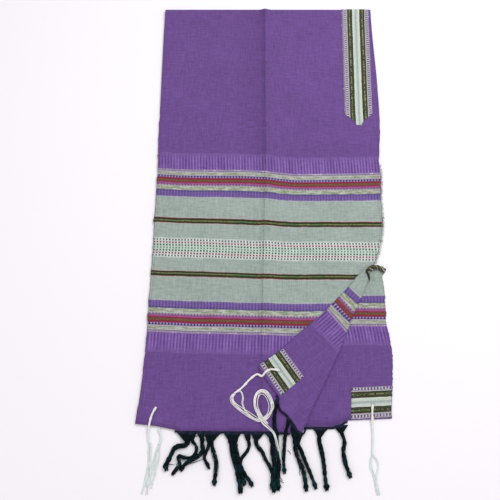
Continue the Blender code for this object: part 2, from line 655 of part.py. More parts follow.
def tassel_rings(root, route, ply_width, sign, hand, cell_width):
    """Sections of one of a tassel's two plies: gathered web, twisted run, knot and brush.

    `sign` picks the ply, and `hand` is -1 where the hem's places run the other way.
    """
    rest = PLY_GAP / 2 + ply_width + 0.75
    line = smooth_line([root] + [(x, y, z + rest) for x, y, z in route])
    length = distances(line)[-1]
    run = stations(line, 10.0, 30.0)
    run = np.array([d for d in run if WEB_LENGTH + 3 < d < length - KNOT_END - 4])
    web = np.array([0.25, 0.55, 1.0]) * WEB_LENGTH
    knot = length - KNOT_END + np.array([0.0, 4.0, 7.0, 10.0, 15.0])
    swell = {0: 1.0, 1: 1.35, 2: 1.35, 3: 0.95, 4: 1.45}
    places = np.concatenate([web, run, knot])
    centres, ahead = along(line, places)
    half_turns = round(2.0 * (knot[0] - WEB_LENGTH) / TWIST_PITCH)
    rings = []
    for k, (centre, forward) in enumerate(zip(centres, ahead)):
        distance = places[k]
        side = level_side(forward) * hand
        up = np.cross(forward, side) * hand
        narrow = max(0.0, 1.0 - distance / WEB_LENGTH) ** 1.8
        at_knot = k - (len(places) - len(knot))
        width = ply_width * swell.get(at_knot, 1.0)
        width += (cell_width - ply_width) * narrow
        height = ply_width * swell.get(at_knot, 1.0) * (1.0 - narrow) + CLOTH * narrow
        twisted = np.clip((distance - WEB_LENGTH) / (knot[0] - WEB_LENGTH), 0.0, 1.0)
        turn = math.pi * half_turns * twisted
        turned_side = side * math.cos(turn) + up * math.sin(turn)
        turned_up = up * math.cos(turn) - side * math.sin(turn)
        gap = PLY_GAP / 2 * min(1.0, distance / 4.0)
        spot = centre + turned_side * sign * (gap + width / 2)
        rings.append(section(spot, turned_side, turned_up, width, height))
    return rings


def make_fringe(name, tassels, hem, corners, base, span):
    """A narrow strip along a hem, with each tassel's plies grown from its front.

    `hem` gives a point and an outward direction for a place along the hem, and `corners`
    lists the places where it bends.
    """
    build = Builder()
    cuts = {c for c in corners if span[0] < c < span[1]} | set(span)
    for _, start, end, *_ in tassels:
        cuts |= {start, (start + end) / 2, end}
    cuts = sorted(cuts)
    posts = []
    for cut in cuts:
        point, out = hem(cut)
        back, front = point + out * SEAM, point + out * (SEAM + STRIP_DEPTH)
        posts.append([build.vertex((*spot, z)) for spot in (back, front)
                      for z in (base, base + CLOTH)])
    for k, (one, two) in enumerate(zip(posts, posts[1:])):
        back_low, back_high, front_low, front_high = one
        next_back_low, next_back_high, next_front_low, next_front_high = two
        build.face(back_low, next_back_low, next_back_high, back_high)
        build.face(back_low, next_back_low, next_front_low, front_low)
        build.face(back_high, next_back_high, next_front_high, front_high)
        front = [front_low, next_front_low, next_front_high, front_high]
        owner = [t for t in tassels if t[1] <= cuts[k] and cuts[k + 1] <= t[2]]
        if not owner:
            build.face(*front)
            continue
        _, start, end, ply_width, route = owner[0]
        sign = -1 if cuts[k] == start else 1
        point, out = hem((start + end) / 2)
        cell = hem(end)[0] - hem(start)[0]
        hand = math.copysign(1.0, out[0] * cell[1] - out[1] * cell[0])
        root = (*(point + out * (SEAM + STRIP_DEPTH)), base + CLOTH / 2)
        cell_width = np.linalg.norm(cell) / 2
        build.tube(front, tassel_rings(root, route, ply_width, sign, hand, cell_width))
    for post in (posts[0], posts[-1]):
        build.face(post[0], post[1], post[3], post[2])
    build.finish(name, "teal")


def straight_hem(table):
    """Hem of a panel that lies along X: its cut is an x, and it faces down the cloth."""
    def at(x):
        return np.array([x, read(table, x)]), np.array([0.0, -1.0])
    return at


def flap_hem(place):
    """Hem of the turned corner at a place counted in its corners, facing away from the flap."""
    line = np.array(FLAP_HEM)

    def at(count):
        number = np.arange(len(line))
        return np.array([np.interp(count, number, line[:, k]) for k in (0, 1)])

    back, ahead = at(place) - at(place - 0.05), at(place + 0.05) - at(place)
    run = back / np.linalg.norm(back) + ahead / np.linalg.norm(ahead)
    run /= np.linalg.norm(run)
    return at(place), np.array([-run[1], run[0]])


def cord_ring(centre, side, width, height, square):
    """Ten corners round the knotted cord: five along its foot, five back along its top."""
    share = np.linspace(-1.0, 1.0, 5)
    lean = np.radians(80.0) * share
    round_x, round_z = np.sin(lean) * width / 2, np.cos(lean) * height / 2
    flat_x, flat_z = share * width / 2, np.full(5, height / 2)
    x = flat_x if square else round_x
    z = flat_z if square else round_z
    foot = [centre + side * a - np.array([0, 0, b]) for a, b in zip(x, z)]
    top = [centre + side * a + np.array([0, 0, b]) for a, b in zip(x, z)]
    return foot + top[::-1]


def make_tzitzit(name, cord, strings):
    """One tzitzit: a cord with its knots, and four pairs of strings that part from its end."""
    build = Builder()
    lift = CORD_HEIGHT / 2 * (1 + KNOT_SWELL) + 0.35
    line = smooth_line([(x, y, z + lift) for x, y, z in cord])
    length = distances(line)[-1]
    count = max(2, int(round(length / 19.0)))
    knots = np.linspace(6.0, length - 9.0, count)
    places = np.sort(np.concatenate([[0.0], knots - 3.2, knots, knots + 3.2, [length]]))
    centres, ahead = along(line, places)
    first = None
    for place, centre, forward in zip(places, centres, ahead):
        swell = 1.0 + KNOT_SWELL * float(np.any(np.abs(knots - place) < 1e-6))
        last = place == places[-1]
        width = 4 * STRING if last else CORD_WIDTH * swell
        height = STRING if last else CORD_HEIGHT * swell
        spot = centre - np.array([0, 0, lift - STRING / 2 - 0.35]) if last else centre
        ring = [build.vertex(p) for p in
                cord_ring(spot, level_side(forward), width, height, last)]
        if first:
            for k in range(10):
                n = (k + 1) % 10
                build.face(first[k], first[n], ring[n], ring[k])
        else:
            build.face(*ring)
        first = ring
    foot, top = first[:5], first[5:][::-1]
    for cells, route in strings:
        level = STRING / 2 + 0.35
        string_line = smooth_line([(x, y, z + level) for x, y, z in route])
        run = stations(string_line, 26.0, 26.0)[1:]
        centres, ahead = along(string_line, run)
        middle = sum(cells) / len(cells)
        for cell in cells:
            rings = []
            for distance, centre, forward in zip(run, centres, ahead):
                spread = STRING + STRING_GAP * min(1.0, distance / 5.0)
                side = level_side(forward)
                spot = centre + side * (cell - middle) * spread
                rings.append(section(spot, side, np.array([0.0, 0.0, 1.0]), STRING, STRING))
            build.tube([foot[cell], foot[cell + 1], top[cell + 1], top[cell]], rings)
    build.finish(name, "white")


clear_scene()
bpy.context.scene.collection.children.link(bpy.data.collections.new("tallit"))
make_upper_panel()
make_under_panel()
make_corner_flap()
make_neck_band()
make_patch("corner_patch_right", RIGHT_PATCH, UNDER_TOP)
make_patch("corner_patch_flap", FLAP_PATCH, FLAP_TOP)
make_fringe("fringe_upper", TASSELS_UPPER, straight_hem(UPPER_HEM),
            [-172, -92, -8], UPPER_LOW, (-184, 30))
make_fringe("fringe_under", TASSELS_UNDER, straight_hem(UNDER_HEM), [], 0.5, (77, 149))
make_fringe("fringe_flap", TASSELS_FLAP, flap_hem, range(1, 8), FLAP_LOW, (1.0, 7.0))
for tzitzit_name, pieces in TZITZIT.items():
    make_tzitzit(tzitzit_name, pieces["cord"], pieces["strings"])
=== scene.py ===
"""Looks of a tallit, the fringed prayer shawl, laid flat: folded in half, one corner turned back.

Tables are in millimetres, and meshes in metres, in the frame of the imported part.
"""

import math

import bpy
import numpy as np
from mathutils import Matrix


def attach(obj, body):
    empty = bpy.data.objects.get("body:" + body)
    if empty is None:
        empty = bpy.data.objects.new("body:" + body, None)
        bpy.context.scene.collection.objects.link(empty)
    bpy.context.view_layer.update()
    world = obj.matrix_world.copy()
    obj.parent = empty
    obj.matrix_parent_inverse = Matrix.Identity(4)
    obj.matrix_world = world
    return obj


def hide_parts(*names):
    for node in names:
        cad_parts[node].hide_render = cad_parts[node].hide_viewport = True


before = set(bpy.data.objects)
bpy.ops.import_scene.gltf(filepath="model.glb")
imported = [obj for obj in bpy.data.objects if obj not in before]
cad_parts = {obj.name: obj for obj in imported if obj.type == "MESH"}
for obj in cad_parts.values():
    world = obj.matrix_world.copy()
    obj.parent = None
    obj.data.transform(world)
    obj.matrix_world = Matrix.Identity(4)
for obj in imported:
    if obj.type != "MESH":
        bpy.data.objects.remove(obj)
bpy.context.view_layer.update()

# The surface: a plain pale table top, lit by two wide soft lights and a pale sky, and the camera
# over the foot of the shawl, tipped towards its fold.
EYE = (-0.0376, -0.591, 1.40)
EYE_TILT = math.radians(20.583)
camera = bpy.data.objects.new("camera", bpy.data.cameras.new("camera"))
bpy.context.scene.collection.objects.link(camera)
camera.location = EYE
camera.rotation_euler = (EYE_TILT, 0.0, 0.0)
camera.data.lens = 50.4
camera.data.sensor_width = 36.0
bpy.context.scene.camera = camera
bpy.context.scene.view_settings.view_transform = "Standard"

# Lights: name, place, width and power.
LIGHTS = [("key", (0.9, 0.8, 1.9), 1.3, 25.0), ("fill", (-1.6, -1.1, 2.0), 2.4, 10.6)]
for name, place, size, power in LIGHTS:
    light = bpy.data.lights.new(name, "AREA")
    light.size = size
    light.energy = power
    lamp = bpy.data.objects.new(name, light)
    bpy.context.scene.collection.objects.link(lamp)
    lamp.location = place
    aim = -np.array(place)
    lamp.rotation_euler = (math.atan2(math.hypot(aim[0], aim[1]), -aim[2]), 0.0,
                           math.atan2(aim[1], aim[0]) - math.pi / 2)
sky = bpy.data.worlds.new("sky")
sky.use_nodes = True
sky.node_tree.nodes["Background"].inputs["Color"].default_value = (0.95, 0.94, 0.97, 1.0)
sky.node_tree.nodes["Background"].inputs["Strength"].default_value = 0.61
bpy.context.scene.world = sky


class Wire:
    """A socket of a material's nodes, so that shader maths reads as a Python expression."""

    def __init__(self, tree, socket=None):
        self.tree, self.socket = tree, socket

    def node(self, kind, settings=(), inputs=(), out=0):
        """Add a node: first its settings, then the values or links of its sockets."""
        made = self.tree.nodes.new(kind)
        for key, value in dict(settings).items():
            if key == "stops":
                stops = made.color_ramp.elements
                for k, (place, colour) in enumerate(value):
                    stop = stops[k] if k < 1 else stops.new(place)
                    stop.position, stop.color = place, colour
                stops.remove(stops[-1])
                made.color_ramp.interpolation = "CONSTANT"
            else:
                setattr(made, key, value)
        for key, value in dict(inputs).items():
            if isinstance(value, Wire):
                self.tree.links.new(value.socket, made.inputs[key])
            else:
                made.inputs[key].default_value = value
        return Wire(self.tree, made.outputs[out])

    def math(self, operation, *values, **settings):
        return self.node("ShaderNodeMath", {"operation": operation, **settings},
                         dict(enumerate((self, *values))))

    def __add__(self, other):
        return self.math("ADD", other)

    def __mul__(self, other):
        return self.math("MULTIPLY", other)

    __radd__, __rmul__ = __add__, __mul__

    def __sub__(self, other):
        return self.math("SUBTRACT", other)

    def __rsub__(self, other):
        return self.math("MULTIPLY_ADD", -1.0, other)

    def __truediv__(self, other):
        return self.math("DIVIDE", other)

    def __abs__(self):
        return self.math("ABSOLUTE")

    def every(self, pitch):
        """Place inside a cell that repeats, from 0 to the pitch."""
        return self.math("FLOORED_MODULO", pitch)

    def ripple(self, pitch):
        """A wave from 0 to 1 and back in each pitch, 1 where the place is a whole pitch."""
        return (self * (2.0 * math.pi / pitch)).math("COSINE") * 0.5 + 0.5

    def over(self, level, soft):
        """0 below a level and 1 above it, with a soft step between."""
        return self.math("MULTIPLY_ADD", 1.0 / soft, 0.5 - level / soft, use_clamp=True)

    def near(self, centre, half, soft=0.5):
        """1 within a half width of a centre, and 0 outside."""
        return (half - abs(self - centre)).over(0.0, soft)

    def mix(self, below, above):
        """Colour below where this is 0, and colour above where it is 1."""
        return self.node("ShaderNodeMix", {"data_type": "RGBA"}, {0: self, 6: below, 7: above}, out=2)

    def tinted(self, mask, *shade):
        """This colour, turned to a dye where a mask is 1."""
        return mask.mix(self, dye(*shade))

    def scaled(self, share):
        """A colour made brighter or darker."""
        return self.node("ShaderNodeVectorMath", {"operation": "SCALE"}, {0: self, 3: share})

    def speck(self, other, fine_u, fine_v, detail=2.0):
        """Noise on two places, each with its own number of specks to the millimetre."""
        spot = self.node("ShaderNodeCombineXYZ", (), {0: self * fine_u, 1: other * fine_v})
        return self.node("ShaderNodeTexNoise", {"noise_dimensions": "2D"},
                         {"Vector": spot, "Scale": 1.0, "Detail": detail})


def dye(red, green, blue):
    """A colour named by its screen values from 0 to 255, as the light that a surface returns."""
    screen = np.array([red, green, blue]) / 255.0
    light = np.where(screen < 0.04045, screen / 12.92, ((screen + 0.055) / 1.055) ** 2.4)
    return (*[float(v) for v in light], 1.0)


def finish_of(name, roughness, sheen=0.0, shine=0.25):
    """A new material: its nodes to build on, and a call that sets its colour and relief."""
    made = bpy.data.materials.new(name)
    made.use_nodes = True
    shader = made.node_tree.nodes["Principled BSDF"]
    shader.inputs["Roughness"].default_value = roughness
    shader.inputs["Sheen Weight"].default_value = sheen
    shader.inputs["Sheen Roughness"].default_value = 0.6
    shader.inputs["Specular IOR Level"].default_value = shine
    start = Wire(made.node_tree)

    def set_looks(colour, height=None, depth=0.0):
        links = made.node_tree.links
        links.new(colour.socket, shader.inputs["Base Color"])
        if height is not None:
            bump = start.node("ShaderNodeBump", (), {"Strength": 0.6, "Distance": depth, "Height": height})
            links.new(bump.socket, shader.inputs["Normal"])

    return made, start, set_looks


def pale_top():
    """Pale laminate: almost white with the faintest warm cloud."""
    made, start, set_looks = finish_of("pale_top", 0.7)
    place = start.node("ShaderNodeTexCoord", out=3)
    cloud = start.node("ShaderNodeTexNoise", (), {"Vector": place, "Scale": 6.0, "Detail": 3.0})
    set_looks(cloud.mix(dye(255, 251, 255), dye(255, 252, 255)))
    return made


floor_mesh = bpy.data.meshes.new("floor")
floor_mesh.from_pydata([(-4, -4, -0.0004), (4, -4, -0.0004), (4, 4, -0.0004), (-4, 4, -0.0004)], [],
                       [(0, 1, 2, 3)])
floor_mesh.materials.append(pale_top())
floor = bpy.data.objects.new("floor", floor_mesh)
bpy.context.scene.collection.objects.link(floor)

# The upper half of the shawl: handwoven cloth of purple and sage weft, face up, with a ribbed
# stretch each side of its stripes. It is folded over at the far end, and its lower right corner
# is turned back.
MM = 0.001
CLOTH = 1.3            # wall of the woven cloth
UPPER_TOP = 4.2        # top of the upper half where it lies flat
FOLD_Y, FOLD_RADIUS, FOLD_RISE, FOLD_TAIL = 560.2, 3.6, 42.0, 10.0
RIB_PITCH, RIB_HEIGHT = 6.6, 0.5
DOT_PITCH, DOT_ROW, DOTTED_HALF = 6.65, 6.1, 21.6
DARK_STRIPE = 63.3     # from the middle stripe to the middle of each dark one
BAND_CENTRE = -59.4    # the dotted middle stripe, at the left edge
HEM_START, HEM_TURN = -428.4, -289.4     # at the left edge: the hem, and where wefts start to lean to it
HEM_RIGHT = 249.2      # where the hem would end, with no corner turned back
SELVEDGE_END = -3.0    # the right selvedge pulls in from here to the turned-back corner
# Edges of the upper half: place along the cloth, then place across it.
LEFT_EDGE = [
    (561, -244.1), (499, -245.2), (184, -244.8), (118, -242.6), (10, -244.1), (-117, -245.5),
    (-178, -247.8), (-230, -247.1), (-336, -251.8), (-428, -260.3),
]
RIGHT_EDGE = [
    (561, 256.4), (478, 257.3), (368, 260.2), (283, 260.4), (219, 257.8), (140, 250.1),
    (113, 252.9), (55, 249.3), (-3, 249.2), (-42, 244.6), (-74, 235.3), (-97, 226.4), (-105, 219.5),
]
# Diagonal fold of the turned-back corner, from the selvedge down to the hem.
TURN_LINE = [
    (-105, 219.5), (-134, 210.0), (-173, 193.4), (-212, 173.8), (-250, 158.4), (-272, 150.0),
    (-309, 132.0), (-358, 107.0), (-402, 82.7), (-434, 69.7), (-446, 64.8),
]
# Lengthwise crease: place along, place across, height and half width.
CREASE = [
    (561, -0.9, 5.0, 16.0), (520, -0.9, 3.6, 14.0), (430, -1.2, 2.4, 12.0), (174, -1.6, 1.6, 10.0),
    (-44, -7.6, 1.4, 9.0), (-266, -13.2, 0.9, 9.0), (-330, -14.0, 0.0, 9.0),
]
# How far the wefts hang: share of the width, then at the far stripes, the middle and the near ones.
WEFT_SAG = [
    (0.0, 0.0, 0.0, 0.0), (0.08, -2.7, -1.6, -1.8), (0.17, -3.9, -2.8, -4.2),
    (0.30, -4.4, -5.3, -5.1), (0.38, -4.6, -7.0, -6.3), (0.46, -6.9, -8.8, -7.4),
    (0.50, -7.6, -8.1, -7.3), (0.55, -12.0, -10.2, -8.5), (0.62, -15.1, -10.8, -9.4),
    (0.75, -14.1, -10.8, -8.4), (0.90, -13.2, -12.0, -8.0), (1.0, -11.5, -12.5, -8.0),
]
SAG_REACH = 160.0      # from the middle stripe to the far and to the near stripes
# The near stripes are woven a little closer: distance from the middle on the cloth, and in the chart.
NEAR_STRIPES = [
    (0.0, 0.0), (22.4, 22.9), (56.9, 63.3), (115.9, 119.6), (157.0, 160.1), (190.0, 192.5),
    (380.0, 382.5),
]
# Wrinkles: two ends, height and half width.
WRINKLES = [
    (46, 181, 178, 204, 2.0, 16.0), (165, 318, 163, 238, 1.2, 12.0), (-12, -264, 51, -270, 1.2, 10.0),
    (50, 33, 181, 36, 0.5, 4.0), (47, -107, 174, -103, 0.7, 4.0), (20, 420, 120, 300, 0.8, 22.0),
    (75, 172, 120, 168, 0.9, 9.0), (-200, 40, -60, 20, 0.4, 12.0), (-120, -330, -110, -400, 0.5, 14.0),
]
# Hem of the upper half: place across, then place along.
UPPER_HEM = [
    (-261, HEM_START), (-221, -432.6), (-184, -439.8), (-172, -441.8), (-92, -442.4), (-8, -442.6),
    (40, -445.0), (62, -440.0),
]
# Stripes, from the dotted middle stripe outwards: distance where each begins, and its colour.
STRIPES = [
    (0.0, (190, 200, 193)), (22.9, (159, 173, 165)), (55.2, (176, 172, 168)), (57.0, (98, 54, 50)),
    (58.8, (38, 42, 22)), (61.6, (80, 94, 58)), (65.0, (38, 42, 22)), (67.8, (98, 54, 50)),
    (69.6, (178, 172, 169)), (71.2, (159, 173, 165)), (118.4, (174, 171, 184)), (120.7, (122, 108, 150)),
    (123.2, (120, 94, 158)), (132.6, (102, 90, 140)), (136.4, (166, 174, 156)), (145.4, (174, 169, 174)),
    (147.8, (160, 128, 158)), (150.3, (142, 88, 136)), (152.7, (166, 74, 124)), (155.2, (118, 36, 62)),
    (157.6, (102, 76, 56)), (162.5, (124, 38, 54)), (165.0, (138, 56, 96)), (167.4, (134, 112, 158)),
    (172.3, (168, 170, 174)), (174.8, (164, 169, 154)), (179.7, (178, 175, 176)), (182.1, (128, 116, 142)),
    (184.6, (142, 124, 160)), (187.2, (118, 86, 152)), (228.0, (109, 76, 142)),
]
STRIPES_WIDE = 260.0


def at(table, place, column=1):
    """Value of a table's column at a place along its first column."""
    rows = sorted(table)
    return np.interp(place, [row[0] for row in rows], [row[column] for row in rows])


def sag(share, start):
    """Hang of a weft: the table's three columns, blended by the weft's distance from the middle."""
    reach = np.clip((start - BAND_CENTRE) / SAG_REACH, -1.0, 1.0)
    far, middle, near = (at(WEFT_SAG, share, column) for column in (1, 2, 3))
    return far * np.maximum(reach, 0.0) + middle * (1.0 - np.abs(reach)) + near * np.maximum(-reach, 0.0)


def ease(t):
    """Smooth step from 0 to 1: three squares less two cubes."""
    t = np.clip(t, 0.0, 1.0)
    return t * t * (3.0 - 2.0 * t)


def crease_lift(x, y):
    """A tent along the lengthwise crease: its height falls off as the 1.2th power to each side."""
    centre, height, half = (at(CREASE, y, column) for column in (1, 2, 3))
    return height * np.clip(1.0 - np.abs(x - centre) / half, 0.0, 1.0) ** 1.2


def wrinkle_lift(x, y):
    """Each wrinkle is a bell across its line, eased at both ends; broad waves lie under them."""
    lift = 0.22 * np.sin(x / 41.0 + 1.3) * np.sin(y / 57.0) + 0.16 * np.sin(x / 23.0 - y / 71.0)
    for x0, y0, x1, y1, height, half in WRINKLES:
        length = math.hypot(x1 - x0, y1 - y0)
        run = ((x1 - x0) / length, (y1 - y0) / length)
        ahead = (x - x0) * run[0] + (y - y0) * run[1]
        aside = (y - y0) * run[0] - (x - x0) * run[1]
        ends = ease((ahead + half) / (2 * half)) * ease((length + half - ahead) / (2 * half))
        lift = lift + height * np.exp(-(aside / half * 1.6) ** 2) * ends
    return lift


def upper_lift(x, y):
    """Rise of the cloth to the fold, plus the crease and the wrinkles."""
    rise = 2.0 * FOLD_RADIUS - UPPER_TOP
    to_fold = rise * ease((y - (FOLD_Y - FOLD_RISE)) / (FOLD_RISE - FOLD_RADIUS))
    calm = 1.0 - ease((y - (FOLD_Y - 30.0)) / 24.0)
    return to_fold + crease_lift(x, y) + wrinkle_lift(x, y) * calm


def ribs(across, v):
    """Height of the ribs: a cosine across the cloth, only in the ribbed stretch of the stripes."""
    far = np.abs(v)
    inside = ease((far - 186.0) / 4.0) * (1.0 - ease((far - 222.0) / 12.0))
    return RIB_HEIGHT * (0.5 + 0.5 * np.cos(2.0 * math.pi * across / RIB_PITCH)) * inside


def ragged(v, amount, seed):
    """How far an edge stands out at each weft: short steps of chance, more at the thick stripes."""
    chance = np.random.default_rng(seed).normal(size=400)
    steps = np.interp(v / 1.7, np.arange(400) - 200.0, chance)
    thick = np.exp(-((np.abs(v) - 60.2) / 6.0) ** 2) + 0.5 * np.exp(-((np.abs(v) - 158.0) / 9.0) ** 2)
    return amount * (0.35 * steps + 1.9 * thick)


def sheet_part(grid, chart, wall):
    """A cloth wall: the grid is its outer face, and its inner face lies one wall further in.

    The inner points are the outer ones less the unit normal times the wall. The two faces are
    closed all round their rim.
    """
    across, along = np.gradient(grid, axis=1), np.gradient(grid, axis=0)
    normal = np.cross(across, along)
    normal /= np.maximum(np.linalg.norm(normal, axis=2), 1e-9)[..., None]
    rows, cols = grid.shape[:2]
    count = rows * cols
    index = np.arange(count).reshape(rows, cols)
    face = np.stack([index[:-1, :-1], index[:-1, 1:], index[1:, 1:], index[1:, :-1]], -1).reshape(-1, 4)
    rim = np.concatenate([index[0, :-1], index[:-1, -1], index[-1, :0:-1], index[:0:-1, 0]])
    after = np.roll(rim, -1)
    edge = np.stack([rim, rim + count, after + count, after], 1)
    points = np.concatenate([grid.reshape(-1, 3), (grid - normal * wall).reshape(-1, 3)])
    faces = np.concatenate([face, face[:, ::-1] + count, edge])
    return points, faces.tolist(), np.tile(chart.reshape(-1, 2), (2, 1))


def put(name, parts, material, marks=None):
    """One object of closed parts, each with its points, its faces and its chart of the cloth."""
    points, faces, charts, count = [], [], [], 0
    for part_points, part_faces, chart in parts:
        points.append(part_points)
        charts.append(chart)
        faces += [[k + count for k in face] for face in part_faces]
        count += len(part_points)
    mesh = bpy.data.meshes.new(name)
    mesh.from_pydata((np.concatenate(points) * MM).tolist(), [], faces)
    corners = np.zeros(len(mesh.loops), np.int32)
    mesh.loops.foreach_get("vertex_index", corners)
    layer = mesh.uv_layers.new(name="cloth")
    layer.data.foreach_set("uv", (np.concatenate(charts)[corners] * MM).astype(np.float32).ravel())
    for mark, values in (marks or {}).items():
        made = mesh.attributes.new(mark, "FLOAT", "POINT")
        made.data.foreach_set("value", np.asarray(values, np.float32).ravel())
    mesh.polygons.foreach_set("use_smooth", np.ones(len(mesh.polygons), bool))
    mesh.materials.append(material)
    made = bpy.data.objects.new(name, mesh)
    bpy.context.scene.collection.objects.link(made)
    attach(made, "root")
    return made


def chart_of(start):
    """The two places of a piece's own chart of its cloth, in millimetres."""
    chart = start.node("ShaderNodeUVMap", {"uv_map": "cloth"})
    return [start.node("ShaderNodeSeparateXYZ", (), {0: chart}, out=k) * (1.0 / MM) for k in (0, 1)]


def woven_shawl():
    """The shawl's weave. The chart gives u from the selvedge and v from the middle stripe.

    The stripes depend on the size of v. Dots, ribs and flecks repeat along u, and the ribs carry painted
    highlights on their crests and painted shade between them. Painted shade darkens the cloth along
    its crease and its edges. Threads along both ways vary the brightness, and raise the weave.
    """
    made, start, set_looks = finish_of("woven_shawl", 0.9, 0.04)
    u, v = chart_of(start)
    blocks = u.speck(v, 0.018, 0.0, 1.0)
    w = abs(v) + (u.speck(v, 0.05, 0.02) - 0.5) * 1.4
    stops = [(place / STRIPES_WIDE, dye(*colour)) for place, colour in STRIPES]
    colour = start.node("ShaderNodeValToRGB", {"stops": stops}, {0: w / STRIPES_WIDE})

    row = ((w + DOT_ROW / 2) / DOT_ROW).math("FLOOR")
    in_row = (w + DOT_ROW / 2).every(DOT_ROW)
    cell = (u + row * 0.5).every(DOT_PITCH)
    dotted = (DOTTED_HALF - w).over(0.0, 0.3)
    dots = cell.near(DOT_PITCH / 2, 1.75) * in_row.near(DOT_ROW / 2, 1.6) * dotted
    dot_dye = start.node("ShaderNodeValToRGB", {"stops": [
        (0.0, dye(96, 124, 104)), (0.125, dye(28, 62, 42)), (0.375, dye(88, 16, 34)),
        (0.625, dye(70, 74, 72))]}, {0: row / 4.0})
    white_dots = (1.0 - cell.near(DOT_PITCH / 2, 2.1)) * in_row.near(DOT_ROW / 2, 1.8) * dotted
    colour = colour.tinted(white_dots * 0.7, 242, 244, 243)
    colour = colour.tinted(w.near(12.4, 2.8) * 0.45, 226, 196, 204)
    colour = colour.tinted((9.2 - w).over(0.0, 1.0) * 0.45, 182, 210, 188)
    colour = dots.mix(colour, dot_dye)

    edges = w.near(57.9, 1.0) + w.near(68.7, 1.0)
    colour = colour.tinted(edges * blocks.over(0.46, 0.06) * 0.7, 52, 62, 38)
    stitch = w.near(DARK_STRIPE, 1.7) * u.speck(w, 0.17, 0.5, 2.0).over(0.45, 0.16)
    colour = (stitch * 0.7).mix(colour, blocks.over(0.55, 0.05).mix(dye(130, 132, 82), dye(78, 132, 88)))
    pink = (w.near(56.1, 0.9) + w.near(70.4, 0.9)) * u.speck(w, 0.08, 0.2).over(0.5, 0.2) * 0.6
    colour = colour.tinted(pink, 196, 166, 172)

    ticks = u.every(RIB_PITCH).near(RIB_PITCH / 2, 1.4)
    colour = colour.tinted(ticks * w.near(128.0, 7.4) * 0.7, 92, 68, 134)
    colour = colour.tinted(ticks * w.near(134.4, 1.4) * 0.8, 70, 56, 108)
    light = w.near(141.2, 4.4) + w.near(177.4, 2.6)
    flecks = u.speck(w, 0.055, 0.34, 3.0)
    crowns = (u * 2.0).ripple(RIB_PITCH)
    colour = (flecks.over(0.53, 0.12) * light * 0.75).mix(
        colour, blocks.over(0.48, 0.1).mix(dye(146, 146, 118), dye(132, 152, 118)))
    colour = colour.tinted((0.46 - flecks).over(0.0, 0.10) * light * 0.8, 196, 199, 190)
    colour = colour.tinted(crowns * light * 0.22, 112, 116, 92)
    dark_row = w.near(169.9, 2.1)
    colour = colour.tinted(dark_row * ticks, 44, 30, 86)
    colour = colour.tinted(dark_row * (1.0 - ticks) * w.near(168.6, 0.9) * 0.5, 196, 186, 208)
    fine = (u * 2.0).every(RIB_PITCH).near(RIB_PITCH / 2, 1.7)
    bright = u.speck(w, 0.045, 0.1, 2.0).over(0.62, 0.05)
    colour = colour.tinted(w.near(185.6, 1.3) * fine * 0.45, 196, 186, 204)
    colour = colour.tinted(w.near(185.6, 1.3) * fine * bright * 0.9, 246, 238, 246)
    colour = colour.tinted(w.near(183.2, 0.9) * (1.0 - fine) * 0.6, 72, 58, 86)
    colour = colour.tinted(w.near(149.2, 2.0) * ticks * 0.7, 84, 58, 116)
    mottle = u.speck(w, 0.3, 0.5, 2.0).over(0.5, 0.1) * w.near(160.1, 2.8) * 0.5
    colour = colour.tinted(mottle, 132, 104, 60)
    reds = (w.near(156.4, 1.3) + w.near(163.8, 1.3)) * crowns * 0.4
    colour = colour.tinted(reds, 146, 48, 64)
    # Painted light and shade on the ribs: lighter on their crests and darker in the hollows between them,
    # unevenly along the cloth.
    ribbed = (w.over(188.5, 1.0)) * (1.0 - w.over(222.0, 14.0))
    uneven = u.speck(v, 0.11, 0.012, 2.0) * 1.5
    colour = colour.tinted(ribbed * u.ripple(RIB_PITCH) * uneven, 146, 112, 184)
    colour = colour.tinted(ribbed * (u + RIB_PITCH / 2).ripple(RIB_PITCH) * (1.4 - uneven), 96, 62, 132)

    marked, selvedge, crease = (start.node("ShaderNodeAttribute", {"attribute_name": mark}, out=2)
                                for mark in ("marked", "selvedge", "crease"))
    colour = colour.tinted(selvedge.near(5.0, 0.5, 0.6) * marked * 0.3, 62, 44, 84)
    # Painted shadow along the very edges of the cloth.
    colour = colour.tinted((1.0 - selvedge.over(1.2, 1.2)) * 0.5, 56, 40, 76)
    # Painted shade along the lengthwise crease: a dark line at the crease with a narrow band to its left, a
    # broad darkening further left that grows towards the far end, and a faint one to its right.
    far_end = v.over(205.0, 60.0)
    crease_line_shade = crease.near(-4.6, 4.2, 5.0) * 0.10 + crease.near(-0.8, 1.8, 1.8) * (0.16 - far_end * 0.05)
    shade_left_of_crease = crease.math("MULTIPLY_ADD", 1.0 / 60.0, 1.3, use_clamp=True)
    shade_left_of_crease = shade_left_of_crease * (1.0 - crease.over(0.0, 1.0)) * (far_end * 0.115 + 0.02)
    after = (14.0 - crease).math("MULTIPLY", 1.0 / 14.0, use_clamp=True) * crease.over(1.0, 1.0) * 0.05

    slubs = u.speck(v, 0.035, 0.36, 2.0) * 0.42 + u.speck(v, 0.36, 0.03, 2.0) * 0.38
    clouds = u.speck(v, 0.16, 0.16, 2.0) * 0.30 + u.speck(v, 0.013, 0.015, 2.0) * 0.16
    # Brightness: slubs and clouds of the yarn, less the painted crease shade where the cloth is marked.
    colour = colour.scaled((slubs + clouds + 0.37) * (1.0 - (crease_line_shade + shade_left_of_crease + after) * marked))
    weave = u.ripple(1.25) * v.ripple(1.1) + (u + 0.62).ripple(1.25) * (v + 0.55).ripple(1.1)
    height = weave * 0.6 + u.speck(v, 0.06, 1.6) * 0.8 + u.speck(v, 1.6, 0.05) * 0.6
    set_looks(colour, height, 0.0005)
    return made


def upper_right(y):
    """Right end of the upper half: its selvedge, then just short of the diagonal fold."""
    return np.where(y > -105.0, at(RIGHT_EDGE, y), at(TURN_LINE, y) - 9.9)


